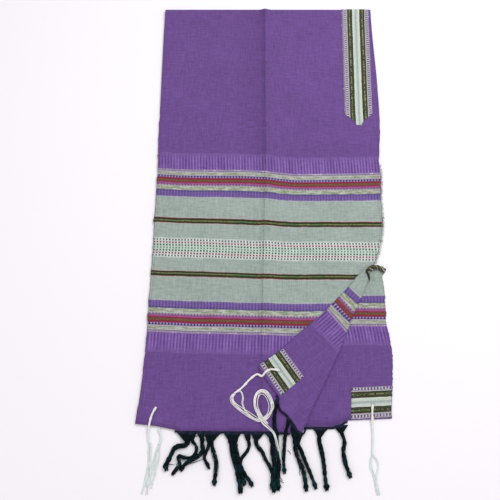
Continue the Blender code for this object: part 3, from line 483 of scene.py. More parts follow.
def make_upper():
    """Rows are weft lines and columns are warps. Past the last row the cloth turns round the fold.

    A weft that starts at y on the left slides down by its sag, which fades towards the fold.
    Between the last ribs and the hem the wefts lean into the line of the hem.
    """
    start = np.unique(np.concatenate([
        np.arange(HEM_START, FOLD_Y - 12.0, 10.0), np.arange(120.0, 180.0, 4.0),
        np.arange(-296.0, -236.0, 4.0), np.arange(FOLD_Y - 40.0, FOLD_Y - FOLD_RADIUS, 4.0)]))[:, None]
    share = np.linspace(0.0, 1.0, 300)[None, :]
    fade = ease((540.0 - start) / 200.0)
    left = at(LEFT_EDGE, start)
    right = upper_right(start + sag(1.0, start) * fade)
    x = left + (right - left) * share
    full = at(RIGHT_EDGE, np.maximum(start, SELVEDGE_END)) - left
    y = start + sag((x - left) / full, start) * fade
    lean = np.clip((HEM_TURN - start) / (HEM_TURN - HEM_START), 0.0, 1.0)
    across_hem = (x - at(LEFT_EDGE, HEM_START)) / (HEM_RIGHT - at(LEFT_EDGE, HEM_START))
    y = y + (at(UPPER_HEM, x) - HEM_START - sag(across_hem, HEM_START)) * lean
    chart_u, chart_v = x - left, start - BAND_CENTRE + 0.0 * x
    chart_v = np.where(chart_v < 0.0, -at(NEAR_STRIPES, -chart_v), chart_v)
    edge = np.minimum(x - left, np.where(start > -95.0, right - x, 40.0))
    crease = x - at(CREASE, y)
    x = x - ragged(chart_v, 1.5, 3) * np.exp(-(x - left) / 2.5)
    x = x + ragged(chart_v, 1.3, 5) * np.exp(-(right - x) / 2.5) * (start > -95.0)
    z = UPPER_TOP + upper_lift(x, y) + ribs(chart_u, chart_v)

    angle = np.radians(np.concatenate([np.linspace(84.0, -90.0, 16), [-90.0]]))[:, None]
    over_x = x[-1:] + 0.0 * angle
    over_y = FOLD_Y - FOLD_RADIUS * (1.0 - np.cos(angle)) + 0.0 * over_x
    over_y[-1] -= FOLD_TAIL
    over_z = FOLD_RADIUS * (1.0 + np.sin(angle)) + crease_lift(over_x, FOLD_Y) * 0.5 * (1.0 + np.sin(angle))
    over_v = chart_v[-1:] + FOLD_RADIUS * (math.pi / 2 - angle) + 0.0 * over_x
    grid = np.stack([np.vstack([x, over_x]), np.vstack([y, over_y]), np.vstack([z, over_z])], -1)
    over_u = chart_u[-1:] + 0.0 * angle
    chart = np.stack([np.vstack([chart_u, over_u]), np.vstack([chart_v, over_v])], -1)
    marks = {"selvedge": np.tile(np.vstack([edge, edge[-1:] + 0.0 * angle]).ravel(), 2),
             "crease": np.tile(np.vstack([crease, crease[-1:] + 0.0 * angle]).ravel(), 2),
             "marked": np.ones(2 * grid.shape[0] * grid.shape[1])}
    return sheet_part(grid, chart, CLOTH), marks


def curve(points, fine):
    """Catmull-Rom curve through points: on each span the cubic that leaves and meets the two next
    points' directions, read at a number of even shares of the span."""
    p = np.asarray(points, float)
    p = np.concatenate([2 * p[:1] - p[1:2], p, 2 * p[-1:] - p[-2:-1]])
    a, b, c, d = (p[k:len(p) - 3 + k, None] for k in range(4))
    t = np.linspace(0.0, 1.0, fine, endpoint=False)[None, :, None]
    bend = (2 * a - 5 * b + 4 * c - d) * t ** 2 + (3 * b - a - 3 * c + d) * t ** 3
    line = 0.5 * (2 * b + (c - a) * t + bend)
    return np.concatenate([line.reshape(-1, p.shape[1]), p[-2:-1]])


def ring_part(rings, chart_u, chart_v):
    """A closed tube through rings of points, with a point at the middle of each end to close it."""
    count, sides = rings.shape[:2]
    index = np.arange(count * sides).reshape(count, sides)
    after = np.roll(index, -1, axis=1)
    wall = np.stack([index[:-1], after[:-1], after[1:], index[1:]], -1).reshape(-1, 4)
    ends = []
    for ring, turn, middle in ((0, -1, count * sides), (-1, 1, count * sides + 1)):
        fan = np.stack([index[ring], after[ring], np.full(sides, middle)], 1)
        ends.append(fan[:, ::turn])
    points = np.concatenate([rings.reshape(-1, 3), rings[:1].mean(1), rings[-1:].mean(1)])
    u = np.concatenate([(chart_u + 0.0 * rings[..., 0]).ravel(), [0.0, 0.0]])
    v = np.concatenate([(chart_v + 0.0 * rings[..., 0]).ravel(), [0.0, 0.0]])
    faces = wall.tolist() + ends[0].tolist() + ends[1].tolist()
    return points, faces, np.stack([u, v], 1)


def follow(route, step):
    """Even steps along the curve through a route: the places, side and up there, and distance.

    Heights stay straight between the route's points, so that nothing dips below its support.
    """
    line = curve(route, 16)
    shares = np.arange(len(line)) / 16.0
    line[:, 2] = np.interp(shares, np.arange(len(route)), [p[2] for p in route])
    run = np.concatenate([[0.0], np.cumsum(np.linalg.norm(np.diff(line, axis=0), axis=1))])
    s = np.linspace(0.0, run[-1], max(3, int(run[-1] / step) + 1))
    at_s = np.stack([np.interp(s, run, line[:, k]) for k in range(3)], 1)
    ahead = np.gradient(at_s, axis=0)
    ahead /= np.linalg.norm(ahead, axis=1)[:, None]
    side = np.stack([-ahead[:, 1], ahead[:, 0], 0.0 * s], 1)
    side /= np.linalg.norm(side, axis=1)[:, None]
    return at_s, side, np.cross(ahead, side), s


def hoops(middle, side, up, theta, wide, high):
    """Rings round a path, square to it: ovals of a half width and a half height at each angle."""
    rings = middle[:, None] + side[:, None] * (wide * np.cos(theta))[..., None]
    return rings + up[:, None] * (high * np.sin(theta))[..., None]


def strand(route, radius, sides=6, step=2.0, taper=0.6, shake=0.0, seed=0):
    """One thread: a round tube along a route, thinner at its end, shaken by slow chance waves."""
    middle, side, up, s = follow(route, step)
    chance = np.random.default_rng(seed)
    knots = np.arange(0.0, s[-1] + 14.0, 7.0)
    bends = np.interp(s, knots, chance.normal(size=len(knots)))
    middle = middle + side * (bends * shake * ease(s / 12.0))[:, None]
    theta = np.linspace(0.0, 2.0 * math.pi, sides, endpoint=False)[None, :]
    thick = (radius * (1.0 - (1.0 - taper) * (s / s[-1]) ** 4))[:, None]
    return ring_part(hoops(middle, side, up, theta, thick, thick), s[:, None], theta * radius)


def selvedge_loops():
    """Weft loops left along the right selvedge: short arcs of yarn, each dyed as its own stripe."""
    parts, chance = [], np.random.default_rng(21)
    for y in np.arange(-96.0, 138.0, 4.9):
        x, out = at(RIGHT_EDGE, y), chance.uniform(1.4, 3.6)
        place = y + chance.uniform(-1.0, 1.0)
        arc = [(x - 2.0, place + 1.6, 4.4), (x + out, place + 1.2, 3.9), (x + out + 0.3, place - 1.0, 3.7),
               (x - 2.0, place - 1.7, 4.4)]
        points, faces, chart = strand(arc, 0.55, 5, 0.9, 1.0)
        parts.append((points, faces, 0.0 * chart + (14.0, place - BAND_CENTRE)))
    return parts


shawl_weave = woven_shawl()
upper_part, upper_marks = make_upper()
loop_parts = selvedge_loops()
loop_points = sum(len(part[0]) for part in loop_parts)
for mark, value in (("selvedge", 20.0), ("crease", 99.0), ("marked", 0.0)):
    upper_marks[mark] = np.concatenate([upper_marks[mark], np.full(loop_points, value)])
shawl_upper = put("shawl_upper", [upper_part] + loop_parts, shawl_weave, upper_marks)
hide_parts("upper_panel")

# The lower half of the shawl, under the upper one. Beyond the turned-back corner it shows its
# reverse, with its own stripes, and its dark stripe is gathered where the two halves part.
UNDER_TOP = 2.4
UNDER_FAR = 546.3      # its end inside the fold
UNDER_CENTRE = -47.6   # its own middle stripe, a little further up than the upper half's
# Right edge where the turned corner bares it, then its hem: as the upper half's edges and hem.
BARED_EDGE = [
    (-60, 236.0), (-80, 229.0), (-98, 222.0), (-102, 226.0), (-104, 244.5), (-117, 245.0),
    (-123, 241.0), (-167, 243.7), (-223, 241.6), (-251, 246.8), (-294, 250.7), (-360, 245.9),
    (-421, 240.2),
]
UNDER_HEM = [
    (-258, -424.0), (-200, -428.0), (-170, -434.0), (124, -434.0), (136, -430.5), (146, -424.5),
    (153, -421.5), (241, -418.0),
]
# The bunched stripe's route, and that of the tail that runs down from it.
TWIST_ROUTE = [
    (206, -119, 8.8), (211, -113, 8.8), (219, -108, 7.4), (230, -106.5, 5.6), (240, -111, 4.8),
    (247.5, -114.5, 4.2),
]
TWIST_TAIL = [(207, -117, 9.6), (210.2, -124, 9.8), (211.6, -131, 9.4), (212.4, -138, 8.8)]


def make_under():
    """Straight wefts from edge to edge, denser where they are bared, with a flat underside.

    The height is the top of the wall, less a rounded rim, plus the gathers: a cosine along the
    edge that grows towards it. Past 116 mm the chart runs 1.025 times as fast, where the stripes
    lie closer, and it skips the dark stripe, which the twist carries.
    """
    rows = np.unique(np.concatenate([
        np.linspace(-414.0, -90.0, 90), np.arange(-122.0, -98.0, 0.8), np.linspace(-90.0, UNDER_FAR, 40)]))
    rows = np.concatenate([rows[:1], rows])[:, None]
    left = at(LEFT_EDGE, rows) + 3.0
    right = np.where(rows < -60.0, at(BARED_EDGE, rows), at(RIGHT_EDGE, rows) - 5.0)
    share = np.concatenate([np.linspace(0.0, 0.6, 14), np.linspace(0.602, 1.0, 122)])[None, :]
    x = left + (right - left) * share
    y = rows + 0.0 * x
    y[0] = at(UNDER_HEM, x[0])
    y[1:] += (at(UNDER_HEM, x[1:]) + 434.0) * 0.6 * ease((-330.0 - y[1:]) / 84.0)
    chart_u, chart_v = right - x, UNDER_CENTRE - y
    chart_v = np.where(chart_v > 116.0, 116.5 + (chart_v - 116.0) * 1.025, chart_v)
    chart_v = np.where((chart_v > 48.0) & (chart_v < 76.0), 76.0, chart_v)
    wave = 0.5 - 0.5 * np.cos((y + 101.0) / 5.4 * 2.0 * math.pi)
    gathers = 2.4 * wave * ease((x - 214.0) / 20.0) * ((y < -101.0) & (y > -117.2))
    to_edge = np.minimum(x - left, right - x)
    rim = 1.3 * (1.0 - ease(to_edge / 2.5))
    x = x + ragged(chart_v, 1.5, 7) * np.exp(-(right - x) / 2.0) * (rows < -98.0)
    z = UNDER_TOP - rim + gathers + ribs(chart_u, chart_v)
    z += 0.25 * np.sin(x / 17.0) * np.sin(y / 31.0) * ease((x - 90.0) / 40.0)
    grid = np.stack([x, y, z], -1)
    points, faces, chart = sheet_part(grid, np.stack([chart_u, chart_v], -1), 0.0)
    points[len(points) // 2:, 2] = 0.0
    return (points, faces, chart), {"selvedge": np.tile(to_edge.ravel(), 2)}


def make_twist():
    """The dark stripe bunched and twisted where the halves part: a tube of four turning lobes.

    The chart swings either side of the dark stripe with the lobes, so that dark and pale cloth
    wind round it.
    """
    middle, side, up, s = follow(TWIST_ROUTE, 0.5)
    theta = np.linspace(0.0, 2.0 * math.pi, 40, endpoint=False)[None, :]
    s = s[:, None]
    turn = 2.0 * theta - 0.42 * s + 0.9 * np.sin(0.31 * s)
    lobes = 0.68 + 0.46 * np.abs(np.cos(0.5 * turn)) + 0.10 * np.sin(1.5 * turn + 0.9 * s)
    plump = 5.0 * np.clip(0.35 + 0.65 * ease(s / 9.0), 0.0, 1.0) * (1.0 + 0.12 * np.sin(0.37 * s))
    radius = plump * lobes
    rings = hoops(middle, side, up, theta, radius, radius * 0.85)
    rings[..., 2] = np.maximum(rings[..., 2], 0.4)
    chart_v = 61.2 + 7.6 * np.sin(turn) ** 3
    bunch = ring_part(rings, s * 1.3, chart_v)
    points, faces, chart = strand(TWIST_TAIL, 2.3, 10, 1.0, 0.1)
    return [bunch, (points, faces, 0.0 * chart + (30.0, 59.6))]


under_part, under_marks = make_under()
twist_parts = make_twist()
twist_points = sum(len(part[0]) for part in twist_parts)
under_marks["selvedge"] = np.concatenate([under_marks["selvedge"], np.full(twist_points, 20.0)])
shawl_under = put("shawl_under", [under_part] + twist_parts, shawl_weave, under_marks)
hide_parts("under_panel")

# The turned-back corner of the upper half, reverse side up: the cloth rolls over the diagonal
# fold, and its free corner lies on the face of the upper half.
FLAP_LOW, FLAP_TOP = 5.0, 6.5
TURN_RADIUS, TURN_LEG, TURN_RISE = 2.8, 8.0, 18.0
TURN_LEVEL = 5.5       # height of the roll's centre line
# Wefts of the corner: free edge, fold, and distance from the middle stripe.
FLAP_WEFTS = [
    (206.0, -107.0, 217.6, -110.0, 70.0), (190.0, -123.0, 213.5, -124.0, 84.0),
    (177.0, -137.7, 206.0, -145.0, 102.0), (168.0, -148.0, 193.4, -173.0, 119.4),
    (158.0, -160.0, 186.6, -186.5, 135.6), (147.5, -170.0, 177.8, -204.0, 148.0),
    (136.8, -181.5, 170.4, -220.0, 167.6), (130.5, -186.5, 167.8, -226.5, 171.6),
    (120.0, -199.0, 159.5, -247.5, 188.0), (88.0, -227.0, 141.5, -288.5, 227.0),
    (61.0, -249.0, 118.5, -335.0, 261.0), (30.0, -277.0, 96.5, -377.0, 304.0),
    (5.0, -297.0, 83.0, -402.0, 336.0), (-22.6, -317.7, 69.7, -434.4, 371.0),
]
# Hem of the corner, from the fold to its free edge: place across, then place along.
FLAP_HEM = [
    (69.7, -434.4), (65.0, -445.0), (57.4, -441.5), (50.0, -431.0), (41.0, -417.5), (34.7, -410.5),
    (24.0, -402.4), (19.6, -392.7), (20.5, -378.0), (0.0, -351.0), (-22.6, -317.7),
]


def make_corner():
    """Each row runs from under the fold, half round its roll, and down to the free edge.

    The roll is a half circle square to the fold. From its top the cloth eases down to lie on the
    half below. The last rows bulge from a straight weft into the gathered line of the hem.
    """
    wefts = curve(FLAP_WEFTS, 9)
    edge, fold, v = wefts[:, None, 0:2], wefts[:, None, 2:4], wefts[:, None, 4]
    along = np.gradient(wefts[:, 2:4], axis=0)
    along /= np.linalg.norm(along, axis=1)[:, None]
    inward = np.stack([along[:, 1], -along[:, 0]], 1)[:, None, :]
    centre = fold + inward * TURN_RADIUS
    angle = np.radians(np.linspace(-90.0, 90.0, 12))
    leg = centre + inward * (TURN_LEG - TURN_RADIUS) * np.array([1.0, 0.5])[None, :, None]
    roll = centre - inward * (TURN_RADIUS * np.cos(angle))[None, :, None]
    share = np.linspace(0.0, 1.0, 92)[1:]
    hem = curve(FLAP_HEM, 6)
    hem_run = np.concatenate([[0.0], np.cumsum(np.linalg.norm(np.diff(hem, axis=0), axis=1))])
    shift = np.stack([np.interp(share, hem_run / hem_run[-1], hem[:, k]) for k in (0, 1)], 1)
    straight = np.array(FLAP_HEM[0]) + (np.array(FLAP_HEM[-1]) - np.array(FLAP_HEM[0])) * share[:, None]
    bulge = (shift - straight)[None] * (ease((v - 300.0) / 71.0) ** 1.3)[..., None]
    plan = centre + (edge - centre) * share[None, :, None] + bulge
    away = np.linalg.norm(plan - centre, axis=2)
    width = np.linalg.norm(edge - centre, axis=2)
    from_edge = np.linalg.norm(plan - edge, axis=2)
    z = FLAP_TOP + (TURN_LEVEL + TURN_RADIUS - FLAP_TOP) * (1.0 - ease(away / TURN_RISE))
    z += ribs(from_edge, v) + 0.35 * np.sin(away / 9.0 + v / 37.0) * ease(from_edge / 20.0)
    pleats = 1.0 * np.sin(hem_run[-1] * share / 7.5)[None, :] * ease((v - 345.0) / 26.0)
    z += pleats * (share < 0.62)[None, :]
    flat = np.concatenate([leg, roll, plan], 1)
    level = TURN_LEVEL + TURN_RADIUS * np.concatenate([[-1.0, -1.0], np.sin(angle)])
    height = np.concatenate([np.tile(level, (len(v), 1)), z], 1)
    grid = np.concatenate([flat, height[..., None]], 2)
    around = width + TURN_RADIUS * (math.pi / 2 - np.concatenate([angle[:1], angle[:1], angle]))[None]
    chart_u = np.concatenate([around, from_edge], 1)
    chart_v = v + 0.0 * chart_u
    turned = (chart_u > width + 1.0) & (grid[..., 1] > -131.0)
    chart_v = np.where(turned, DARK_STRIPE, chart_v)
    grid, chart_u, chart_v = grid[::-1], chart_u[::-1], chart_v[::-1]
    edge_mark = np.concatenate([around + 30.0, from_edge], 1)[::-1]
    part = sheet_part(grid[:, ::-1], np.stack([chart_u, chart_v], -1)[:, ::-1], CLOTH)
    return part, {"selvedge": np.tile(edge_mark[:, ::-1].ravel(), 2)}


corner_part, corner_marks = make_corner()
shawl_corner = put("shawl_corner", [corner_part], shawl_weave, corner_marks)
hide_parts("corner_flap")

# The neck band, or atarah: a strip of the band cloth sewn on the face along the right edge, over
# the fold and down, with its lower end mitred. It is stitched along both its sides.
SEAM = 0.3             # air between the band and what it is sewn to
BAND_WALL = 0.9
BAND_HALF, BANDS_WIDE = 34.0, 40.0
PEARL_PITCH = 6.0
NECK_TIP, NECK_MITRE = 237.4, 269.0
# The band's sides: place along, left and right. Up to the mitre they cut across its end.
NECK_SIDES = [
    (237.4, 205.5, 216.2), (247.6, 200.8, 221.8), (257.2, 190.6, 233.2), (264.0, 181.0, 240.2),
    (269.0, 178.8, 244.4), (560.2, 184.8, 252.1),
]


def band_weave():
    """The band cloth. The chart gives u along the band and v from its centre line, to each side.

    A grey line runs down the middle of the white, then a dark stripe with gold stitches, a white
    line, and a lilac edge with light and dark dots, more purple on its far side.
    """
    made, start, set_looks = finish_of("band_weave", 0.85, 0.1)
    u, v = chart_of(start)
    w = abs(v) + (u.speck(v, 0.08, 0.05) - 0.5) * 1.2
    bands = [(0.0, (166, 178, 173)), (1.6, (212, 220, 213)), (8.7, (38, 40, 22)), (21.0, (186, 181, 188)),
             (23.2, (142, 130, 152))]
    stops = [(place / BANDS_WIDE, dye(*colour)) for place, colour in bands]
    colour = start.node("ShaderNodeValToRGB", {"stops": stops}, {0: w / BANDS_WIDE})
    blocks = u.speck(v, 0.03, 0.0, 1.0)
    gold = w.near(15.4, 1.3) * u.speck(v, 0.13, 0.04, 2.0).over(0.42, 0.2)
    colour = colour.tinted((w.near(11.9, 0.8) + w.near(17.7, 0.8)) * 0.45, 92, 98, 56)
    gold_dye = blocks.over(0.5, 0.1).mix(dye(82, 110, 58), dye(150, 146, 96))
    colour = (gold * 0.8).mix(colour, gold_dye)
    gold_sparks = w.near(15.4, 1.6) * u.speck(v, 0.30, 0.34, 2.0).over(0.62, 0.05)
    colour = colour.tinted(gold_sparks * 0.6, 206, 206, 178)
    rims = (w.near(9.5, 0.7) + w.near(20.1, 0.7)) * 0.7
    colour = rims.mix(colour, blocks.over(0.45, 0.1).mix(dye(84, 54, 42), dye(44, 66, 36)))
    sides = w.over(23.2, 0.4)
    colour = colour.tinted(v.over(25.0, 5.0) * sides * 0.6, 118, 92, 154)
    cell = u.every(PEARL_PITCH)
    light_dots = cell.near(4.5, 1.4)
    pearls = light_dots * w.near(26.6, 2.4)
    colour = colour.tinted(cell.near(1.5, 1.3) * w.near(26.6, 2.3) * 0.8, 52, 42, 66)
    colour = colour.tinted(pearls * 0.75, 222, 214, 226)
    colour = colour.tinted(w.near(30.2, 1.0) * 0.6, 188, 178, 196)
    colour = colour.tinted(light_dots * w.over(31.8, 0.6) * 0.6, 88, 72, 106)
    edge_sparks = sides * u.speck(v, 0.22, 0.3, 2.0).over(0.68, 0.05)
    colour = colour.tinted(edge_sparks * 0.6, 236, 230, 238)
    pale = (8.7 - w).over(0.0, 0.6)
    colour = colour.tinted(v.over(2.4, 2.0) * pale * 0.45, 226, 226, 204)
    aqua = u.speck(v, 0.05, 0.3).over(0.5, 0.2) * pale
    colour = colour.tinted(aqua * 0.4, 180, 202, 194)
    picks = u.every(3.4).near(1.7, 0.8) * w.near(2.6, 1.4) * pale
    colour = colour.tinted(picks * 0.45, 140, 158, 152)
    colour = colour.scaled(u.speck(v, 1.3, 0.3, 3.0) * 0.3 + u.speck(v, 0.3, 0.5, 2.0) * 0.4 + 0.65)
    height = u.ripple(1.1) * v.ripple(0.9) + gold * 0.8 + pearls + u.speck(v, 1.0, 1.0)
    set_looks(colour, height, 0.0006)
    return made


def plain_thread(name, colour, dark):
    """Sewing thread or yarn: one colour with its twist as slanting bands of lighter and darker, the darker
    a painted shade in its grooves.
    """
    made, start, set_looks = finish_of(name, 0.8, 0.1)
    u, v = chart_of(start)
    twist = (u + v * 0.8).ripple(1.6)
    # Painted shade: the dark colour lies in the grooves of the twist.
    base = twist.mix(dye(*dark), dye(*colour))
    set_looks(base.scaled(u.speck(v, 0.3, 0.3) * 0.4 + 0.8), twist, 0.0003)
    return made


def stitches(line, length=2.6, gap=1.6, radius=0.28):
    """A row of running stitches: short threads that arch out of the cloth along a line."""
    parts = []
    line = np.asarray(line, float)
    run = np.concatenate([[0.0], np.cumsum(np.linalg.norm(np.diff(line, axis=0), axis=1))])
    for begin in np.arange(0.8, run[-1] - length, length + gap):
        s = begin + length * np.array([0.0, 0.25, 0.75, 1.0])
        spots = np.stack([np.interp(s, run, line[:, k]) for k in range(3)], 1)
        spots[:, 2] += 0.1 + np.array([-0.25, 0.12, 0.12, -0.25])
        parts.append(strand([tuple(p) for p in spots], radius, sides=5, step=0.9, taper=1.0))
    return parts


def make_neck_band():
    """Rows run up the band and over the fold. The cloth's points are moved out by seam and wall.

    Its edges are pulled down by their stitches: the wall thins by a smooth step over 3 mm there.
    """
    rows = np.concatenate([np.linspace(NECK_TIP, NECK_MITRE, 17),
                           np.linspace(NECK_MITRE + 5.0, FOLD_Y - 4.2, 60)])[:, None]
    share = np.linspace(0.0, 1.0, 44)[None, :]
    left, right = at(NECK_SIDES, rows, 1), at(NECK_SIDES, rows, 2)
    uncut = np.maximum(rows, NECK_MITRE)
    wide_left, wide_right = at(NECK_SIDES, uncut, 1), at(NECK_SIDES, uncut, 2)
    x = left + (right - left) * share
    y = rows + 0.0 * x
    edge = np.minimum(x - left, right - x)
    puff = SEAM + BAND_WALL * (0.55 + 0.45 * ease(edge / 3.0))
    z = UPPER_TOP + upper_lift(x, y) + puff
    across = (x - (wide_left + wide_right) / 2) / (wide_right - wide_left) * 2.0 * BAND_HALF - 1.4
    angle = np.radians(np.linspace(84.0, -25.0, 10))[:, None]
    out = FOLD_RADIUS + puff[-1:]
    over_y = FOLD_Y - FOLD_RADIUS + out * np.cos(angle)
    over_z = FOLD_RADIUS + out * np.sin(angle)
    grid = np.stack([np.vstack([x, x[-1:] + 0.0 * angle]), np.vstack([y, over_y]),
                     np.vstack([z, over_z])], -1)
    run = np.vstack([y, y[-1:] + FOLD_RADIUS * (math.pi / 2 - angle) + 0.0 * x[-1:]])
    chart = np.stack([run, np.vstack([across, across[-1:] + 0.0 * angle])], -1)
    part = sheet_part(grid, chart, BAND_WALL * 0.55)
    seams = [grid[:, 2], grid[::-1, -3]]
    return part, seams


band_cloth = band_weave()
cream_thread = plain_thread("cream_thread", (206, 198, 206), (150, 138, 152))
neck_part, neck_seams = make_neck_band()
neck_band = put("neck_band_cloth", [neck_part], band_cloth)
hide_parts("neck_band")
put("neck_band_stitches", [p for seam in neck_seams for p in stitches(seam)], cream_thread)

# The corner patches: squares of the band cloth, sewn flat where each tzitzit is tied, with an
# eyelet worked through the middle. One is on the lower half, one on the turned-back corner.
PATCH_LONG, PATCH_WIDE = 76.0, 62.0      # how much of the band's chart a patch takes
EYELET_RISE = 1.25
RIGHT_PATCH = [(164.0, -358.1), (244.0, -354.6), (238.6, -416.0), (159.9, -420.5)]
FLAP_PATCH = [(-18.0, -313.0), (29.7, -280.5), (69.8, -337.3), (23.4, -374.5)]
# Patches: name, node, corners, whether its stripes run down it, what it lies on and how high that
# is, its eyelet, and its flat size in metres.
PATCHES = [
    ("patch_right", "corner_patch_right", RIGHT_PATCH, False, "shawl_under", UNDER_TOP,
     (203.6, -391.5), (0.08, 0.062)),
    ("patch_flap", "corner_patch_flap", FLAP_PATCH, True, "shawl_corner", FLAP_TOP,
     (21.5, -325.5), (0.058, 0.07)),
]


def make_patch(corners, top, stripes_down):
    """A patch between four corners: straight blends of its sides, with its rim pulled down."""
    far_left, far_right, near_right, near_left = (np.array(c) for c in corners)
    down = np.linspace(1.0, 0.0, 34)[:, None, None]
    share = np.linspace(0.0, 1.0, 34)[None, :, None]
    upper = far_left + (far_right - far_left) * share
    lower = near_left + (near_right - near_left) * share
    plan = upper + (lower - upper) * down
    rim = np.minimum(np.minimum(down, 1.0 - down), np.minimum(share, 1.0 - share))[..., 0] * 66.0
    z = top + SEAM + BAND_WALL * (0.5 + 0.5 * ease(rim / 3.5)) + 0.12 * np.sin(plan[..., 0] / 7.0)
    grid = np.concatenate([plan, z[..., None]], 2)
    along, across, shift = 1.0 - down[..., 0], share[..., 0], 0.0
    if not stripes_down:
        along, across, shift = across, along, 1.0
    along, across = along + 0.0 * z, across + 0.0 * z
    chart = np.stack([along * PATCH_LONG, (across - 0.5) * PATCH_WIDE - shift], -1)
    inset = np.concatenate([grid[2, 2:-2], grid[2:-2, -3], grid[-3, -3:1:-1], grid[-3:1:-1, 2]])
    return sheet_part(grid, chart, BAND_WALL * 0.5), inset


def eyelet(x, y, z):
    """A worked hole: a ring of thread, as a small ribbed circle carried round a larger one."""
    theta = np.linspace(0.0, 2.0 * math.pi, 25)[:, None]
    phi = np.linspace(0.0, 2.0 * math.pi, 7, endpoint=False)[None, :]
    out = 2.9 + 0.75 * np.cos(phi) * (1.0 + 0.15 * np.cos(18.0 * theta))
    high = z + 0.55 * np.sin(phi) + 0.0 * theta
    rings = np.stack([x + out * np.cos(theta), y + out * np.sin(theta), high], -1)
    return ring_part(rings, 3.0 * theta, 0.7 * phi)


for name, node, corners, stripes_down, support, top, hole, flat in PATCHES:
    patch_part, patch_seam = make_patch(corners, top, stripes_down)
    patch = put(name + "_cloth", [patch_part], band_cloth)
    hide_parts(node)
    sewing = stitches(patch_seam) + [eyelet(*hole, top + EYELET_RISE)]
    put(name + "_stitches", sewing, cream_thread)

# The fringe: the warp ends at each hem, dark teal yarn, gathered into webs and twisted in two
# plies, then knotted, with their ends left as a brush. Some have come loose.
STRIP_DEPTH = 4.0      # bare warp between the hem and the webs
# Tassels: the stretch of hem that each gathers (from, to), the rope's radius, and its route as
# place across, place along and, where it lies on something, that thing's height.
TASSELS_UPPER = [
    (-182, -160, 4.3, [(-158.5, -460), (-162, -469), (-174.5, -471), (-183, -475), (-191, -490.7),
        (-198, -506), (-197, -513)]),
    (-161, -141, 3.0, [(-149, -460), (-141.7, -470), (-141, -479.6), (-146, -488), (-155.5, -492.5),
        (-166, -491), (-173.5, -488, 1.5), (-174.5, -496, 2.5), (-171.4, -504.5, 1), (-177, -511),
        (-184, -521)]),
    (-141, -127, 3.7, [(-130, -458), (-130.6, -467.5), (-128.4, -477.7), (-134.6, -486.6, 2),
        (-145, -493.4, 4), (-156, -500, 2.5), (-164.6, -507), (-169, -513.6)]),
    (-127, -114, 2.8, [(-119, -458), (-117.5, -467.5), (-120.4, -477.7), (-125.5, -489.7),
        (-123.8, -497), (-118.8, -504.5), (-116.8, -510)]),
    (-119, -92, 3.4, [(-111.6, -461), (-110.3, -472), (-106.7, -485), (-102.7, -498), (-102.4, -512.7),
        (-104, -527), (-105.7, -540)]),
    (-91, -72, 4.1, [(-74.4, -461), (-72.3, -477.7), (-67.6, -496), (-62.8, -514.5), (-58.8, -532.6),
        (-56, -547), (-55.5, -554)]),
    (-73, -53, 3.9, [(-67, -461), (-65, -477.7), (-60.5, -496), (-56.2, -514.5), (-51.2, -530.6),
        (-48.2, -540)]),
    (-52, -36, 3.1, [(-40.5, -460), (-39.5, -468.4), (-42.8, -479.6), (-51, -489.7), (-55.2, -499),
        (-54.2, -509), (-47, -522), (-39, -532.6), (-34, -542)]),
    (-36, -9, 3.1, [(-26, -462), (-21.2, -473), (-14.5, -480.5), (-7.9, -494.4), (-1.3, -505.4),
        (4, -518, 1), (4.6, -532.6, 2), (3.5, -547, 1)]),
    (-9, 22, 4.2, [(5.5, -461), (6.4, -477.7), (8, -496), (10, -514.5), (9.4, -532.6), (7.7, -553)]),
]
TASSELS_UNDER = [
    (80, 119, 3.8, [(97.4, -449.5), (96.7, -461), (100, -477.7), (103.2, -496), (104.4, -514.5),
        (105.6, -532.6), (107.8, -549)]),
    (124, 153, 3.5, [(140.3, -445), (143.4, -455), (144.7, -464.7), (141.8, -477.7), (142.7, -490.7),
        (145.8, -505.4), (150, -518), (152.7, -526)]),
]
# Tassels of the turned corner: places are corner numbers of its hem.
TASSELS_FLAP = [
    (0.6, 2.6, 3.3, [(55, -464, 1), (60.6, -477.7), (67.7, -496), (74.9, -514.5), (81.9, -532.6),
        (86.8, -546)]),
    (1.6, 3.9, 3.6, [(49.3, -462.8, 1.5), (49.4, -476), (52.6, -489), (58, -501.7), (63.9, -516.3),
        (66.7, -532.6), (68.8, -550)]),
    (3.7, 4.7, 2.9, [(36.5, -429, 4.2), (31.8, -442, 4.0), (29.4, -455.3, 1.5), (27.9, -474),
        (26.8, -492.5), (27.3, -507), (28, -518)]),
    (6.6, 8.2, 3.4, [(15, -391.5, 4.2), (11.6, -406, 4.2), (9.5, -421.5, 4.2), (9.9, -436.4, 4.2),
        (13.2, -451.5, 3.5), (14.8, -468.4, 1.5), (16.4, -489), (17, -511), (16, -532.6),
        (15.5, -549)]),
]
# Loose yarns: routes of single threads that have worked out of the tassels.
LOOSE_YARNS = [
    [(-126, -494, 3), (-140, -499, 3), (-158, -504.5, 3), (-167, -508, 1)],
    [(-194, -503.5, 2), (-188, -504.6, 0.6), (-182, -504.8, 0.6)],
    [(-179, -505, 0.6), (-175, -501.5, 2), (-172, -500, 3)],
    [(35, -478, 1), (38.5, -481, 0.6), (40.5, -486, 0.6)],
    [(53, -495, 2), (57, -512, 0.6), (56, -520, 0.6), (58, -524, 0.6)],
    [(59, -474, 1), (62, -490, 0.6), (68, -505, 0.6), (72, -516, 1)],
    [(17, -530, 2), (22, -535, 0.6), (27, -538, 0.6)],
    [(16, -536, 2), (21, -543, 0.6), (22, -547, 0.6)],
    [(18, -520, 2), (20, -528, 0.6), (25, -534, 0.6)],
    [(-112, -445, 3), (-124, -452, 1), (-134, -447, 1), (-142, -452, 1), (-150, -446, 3)],
]


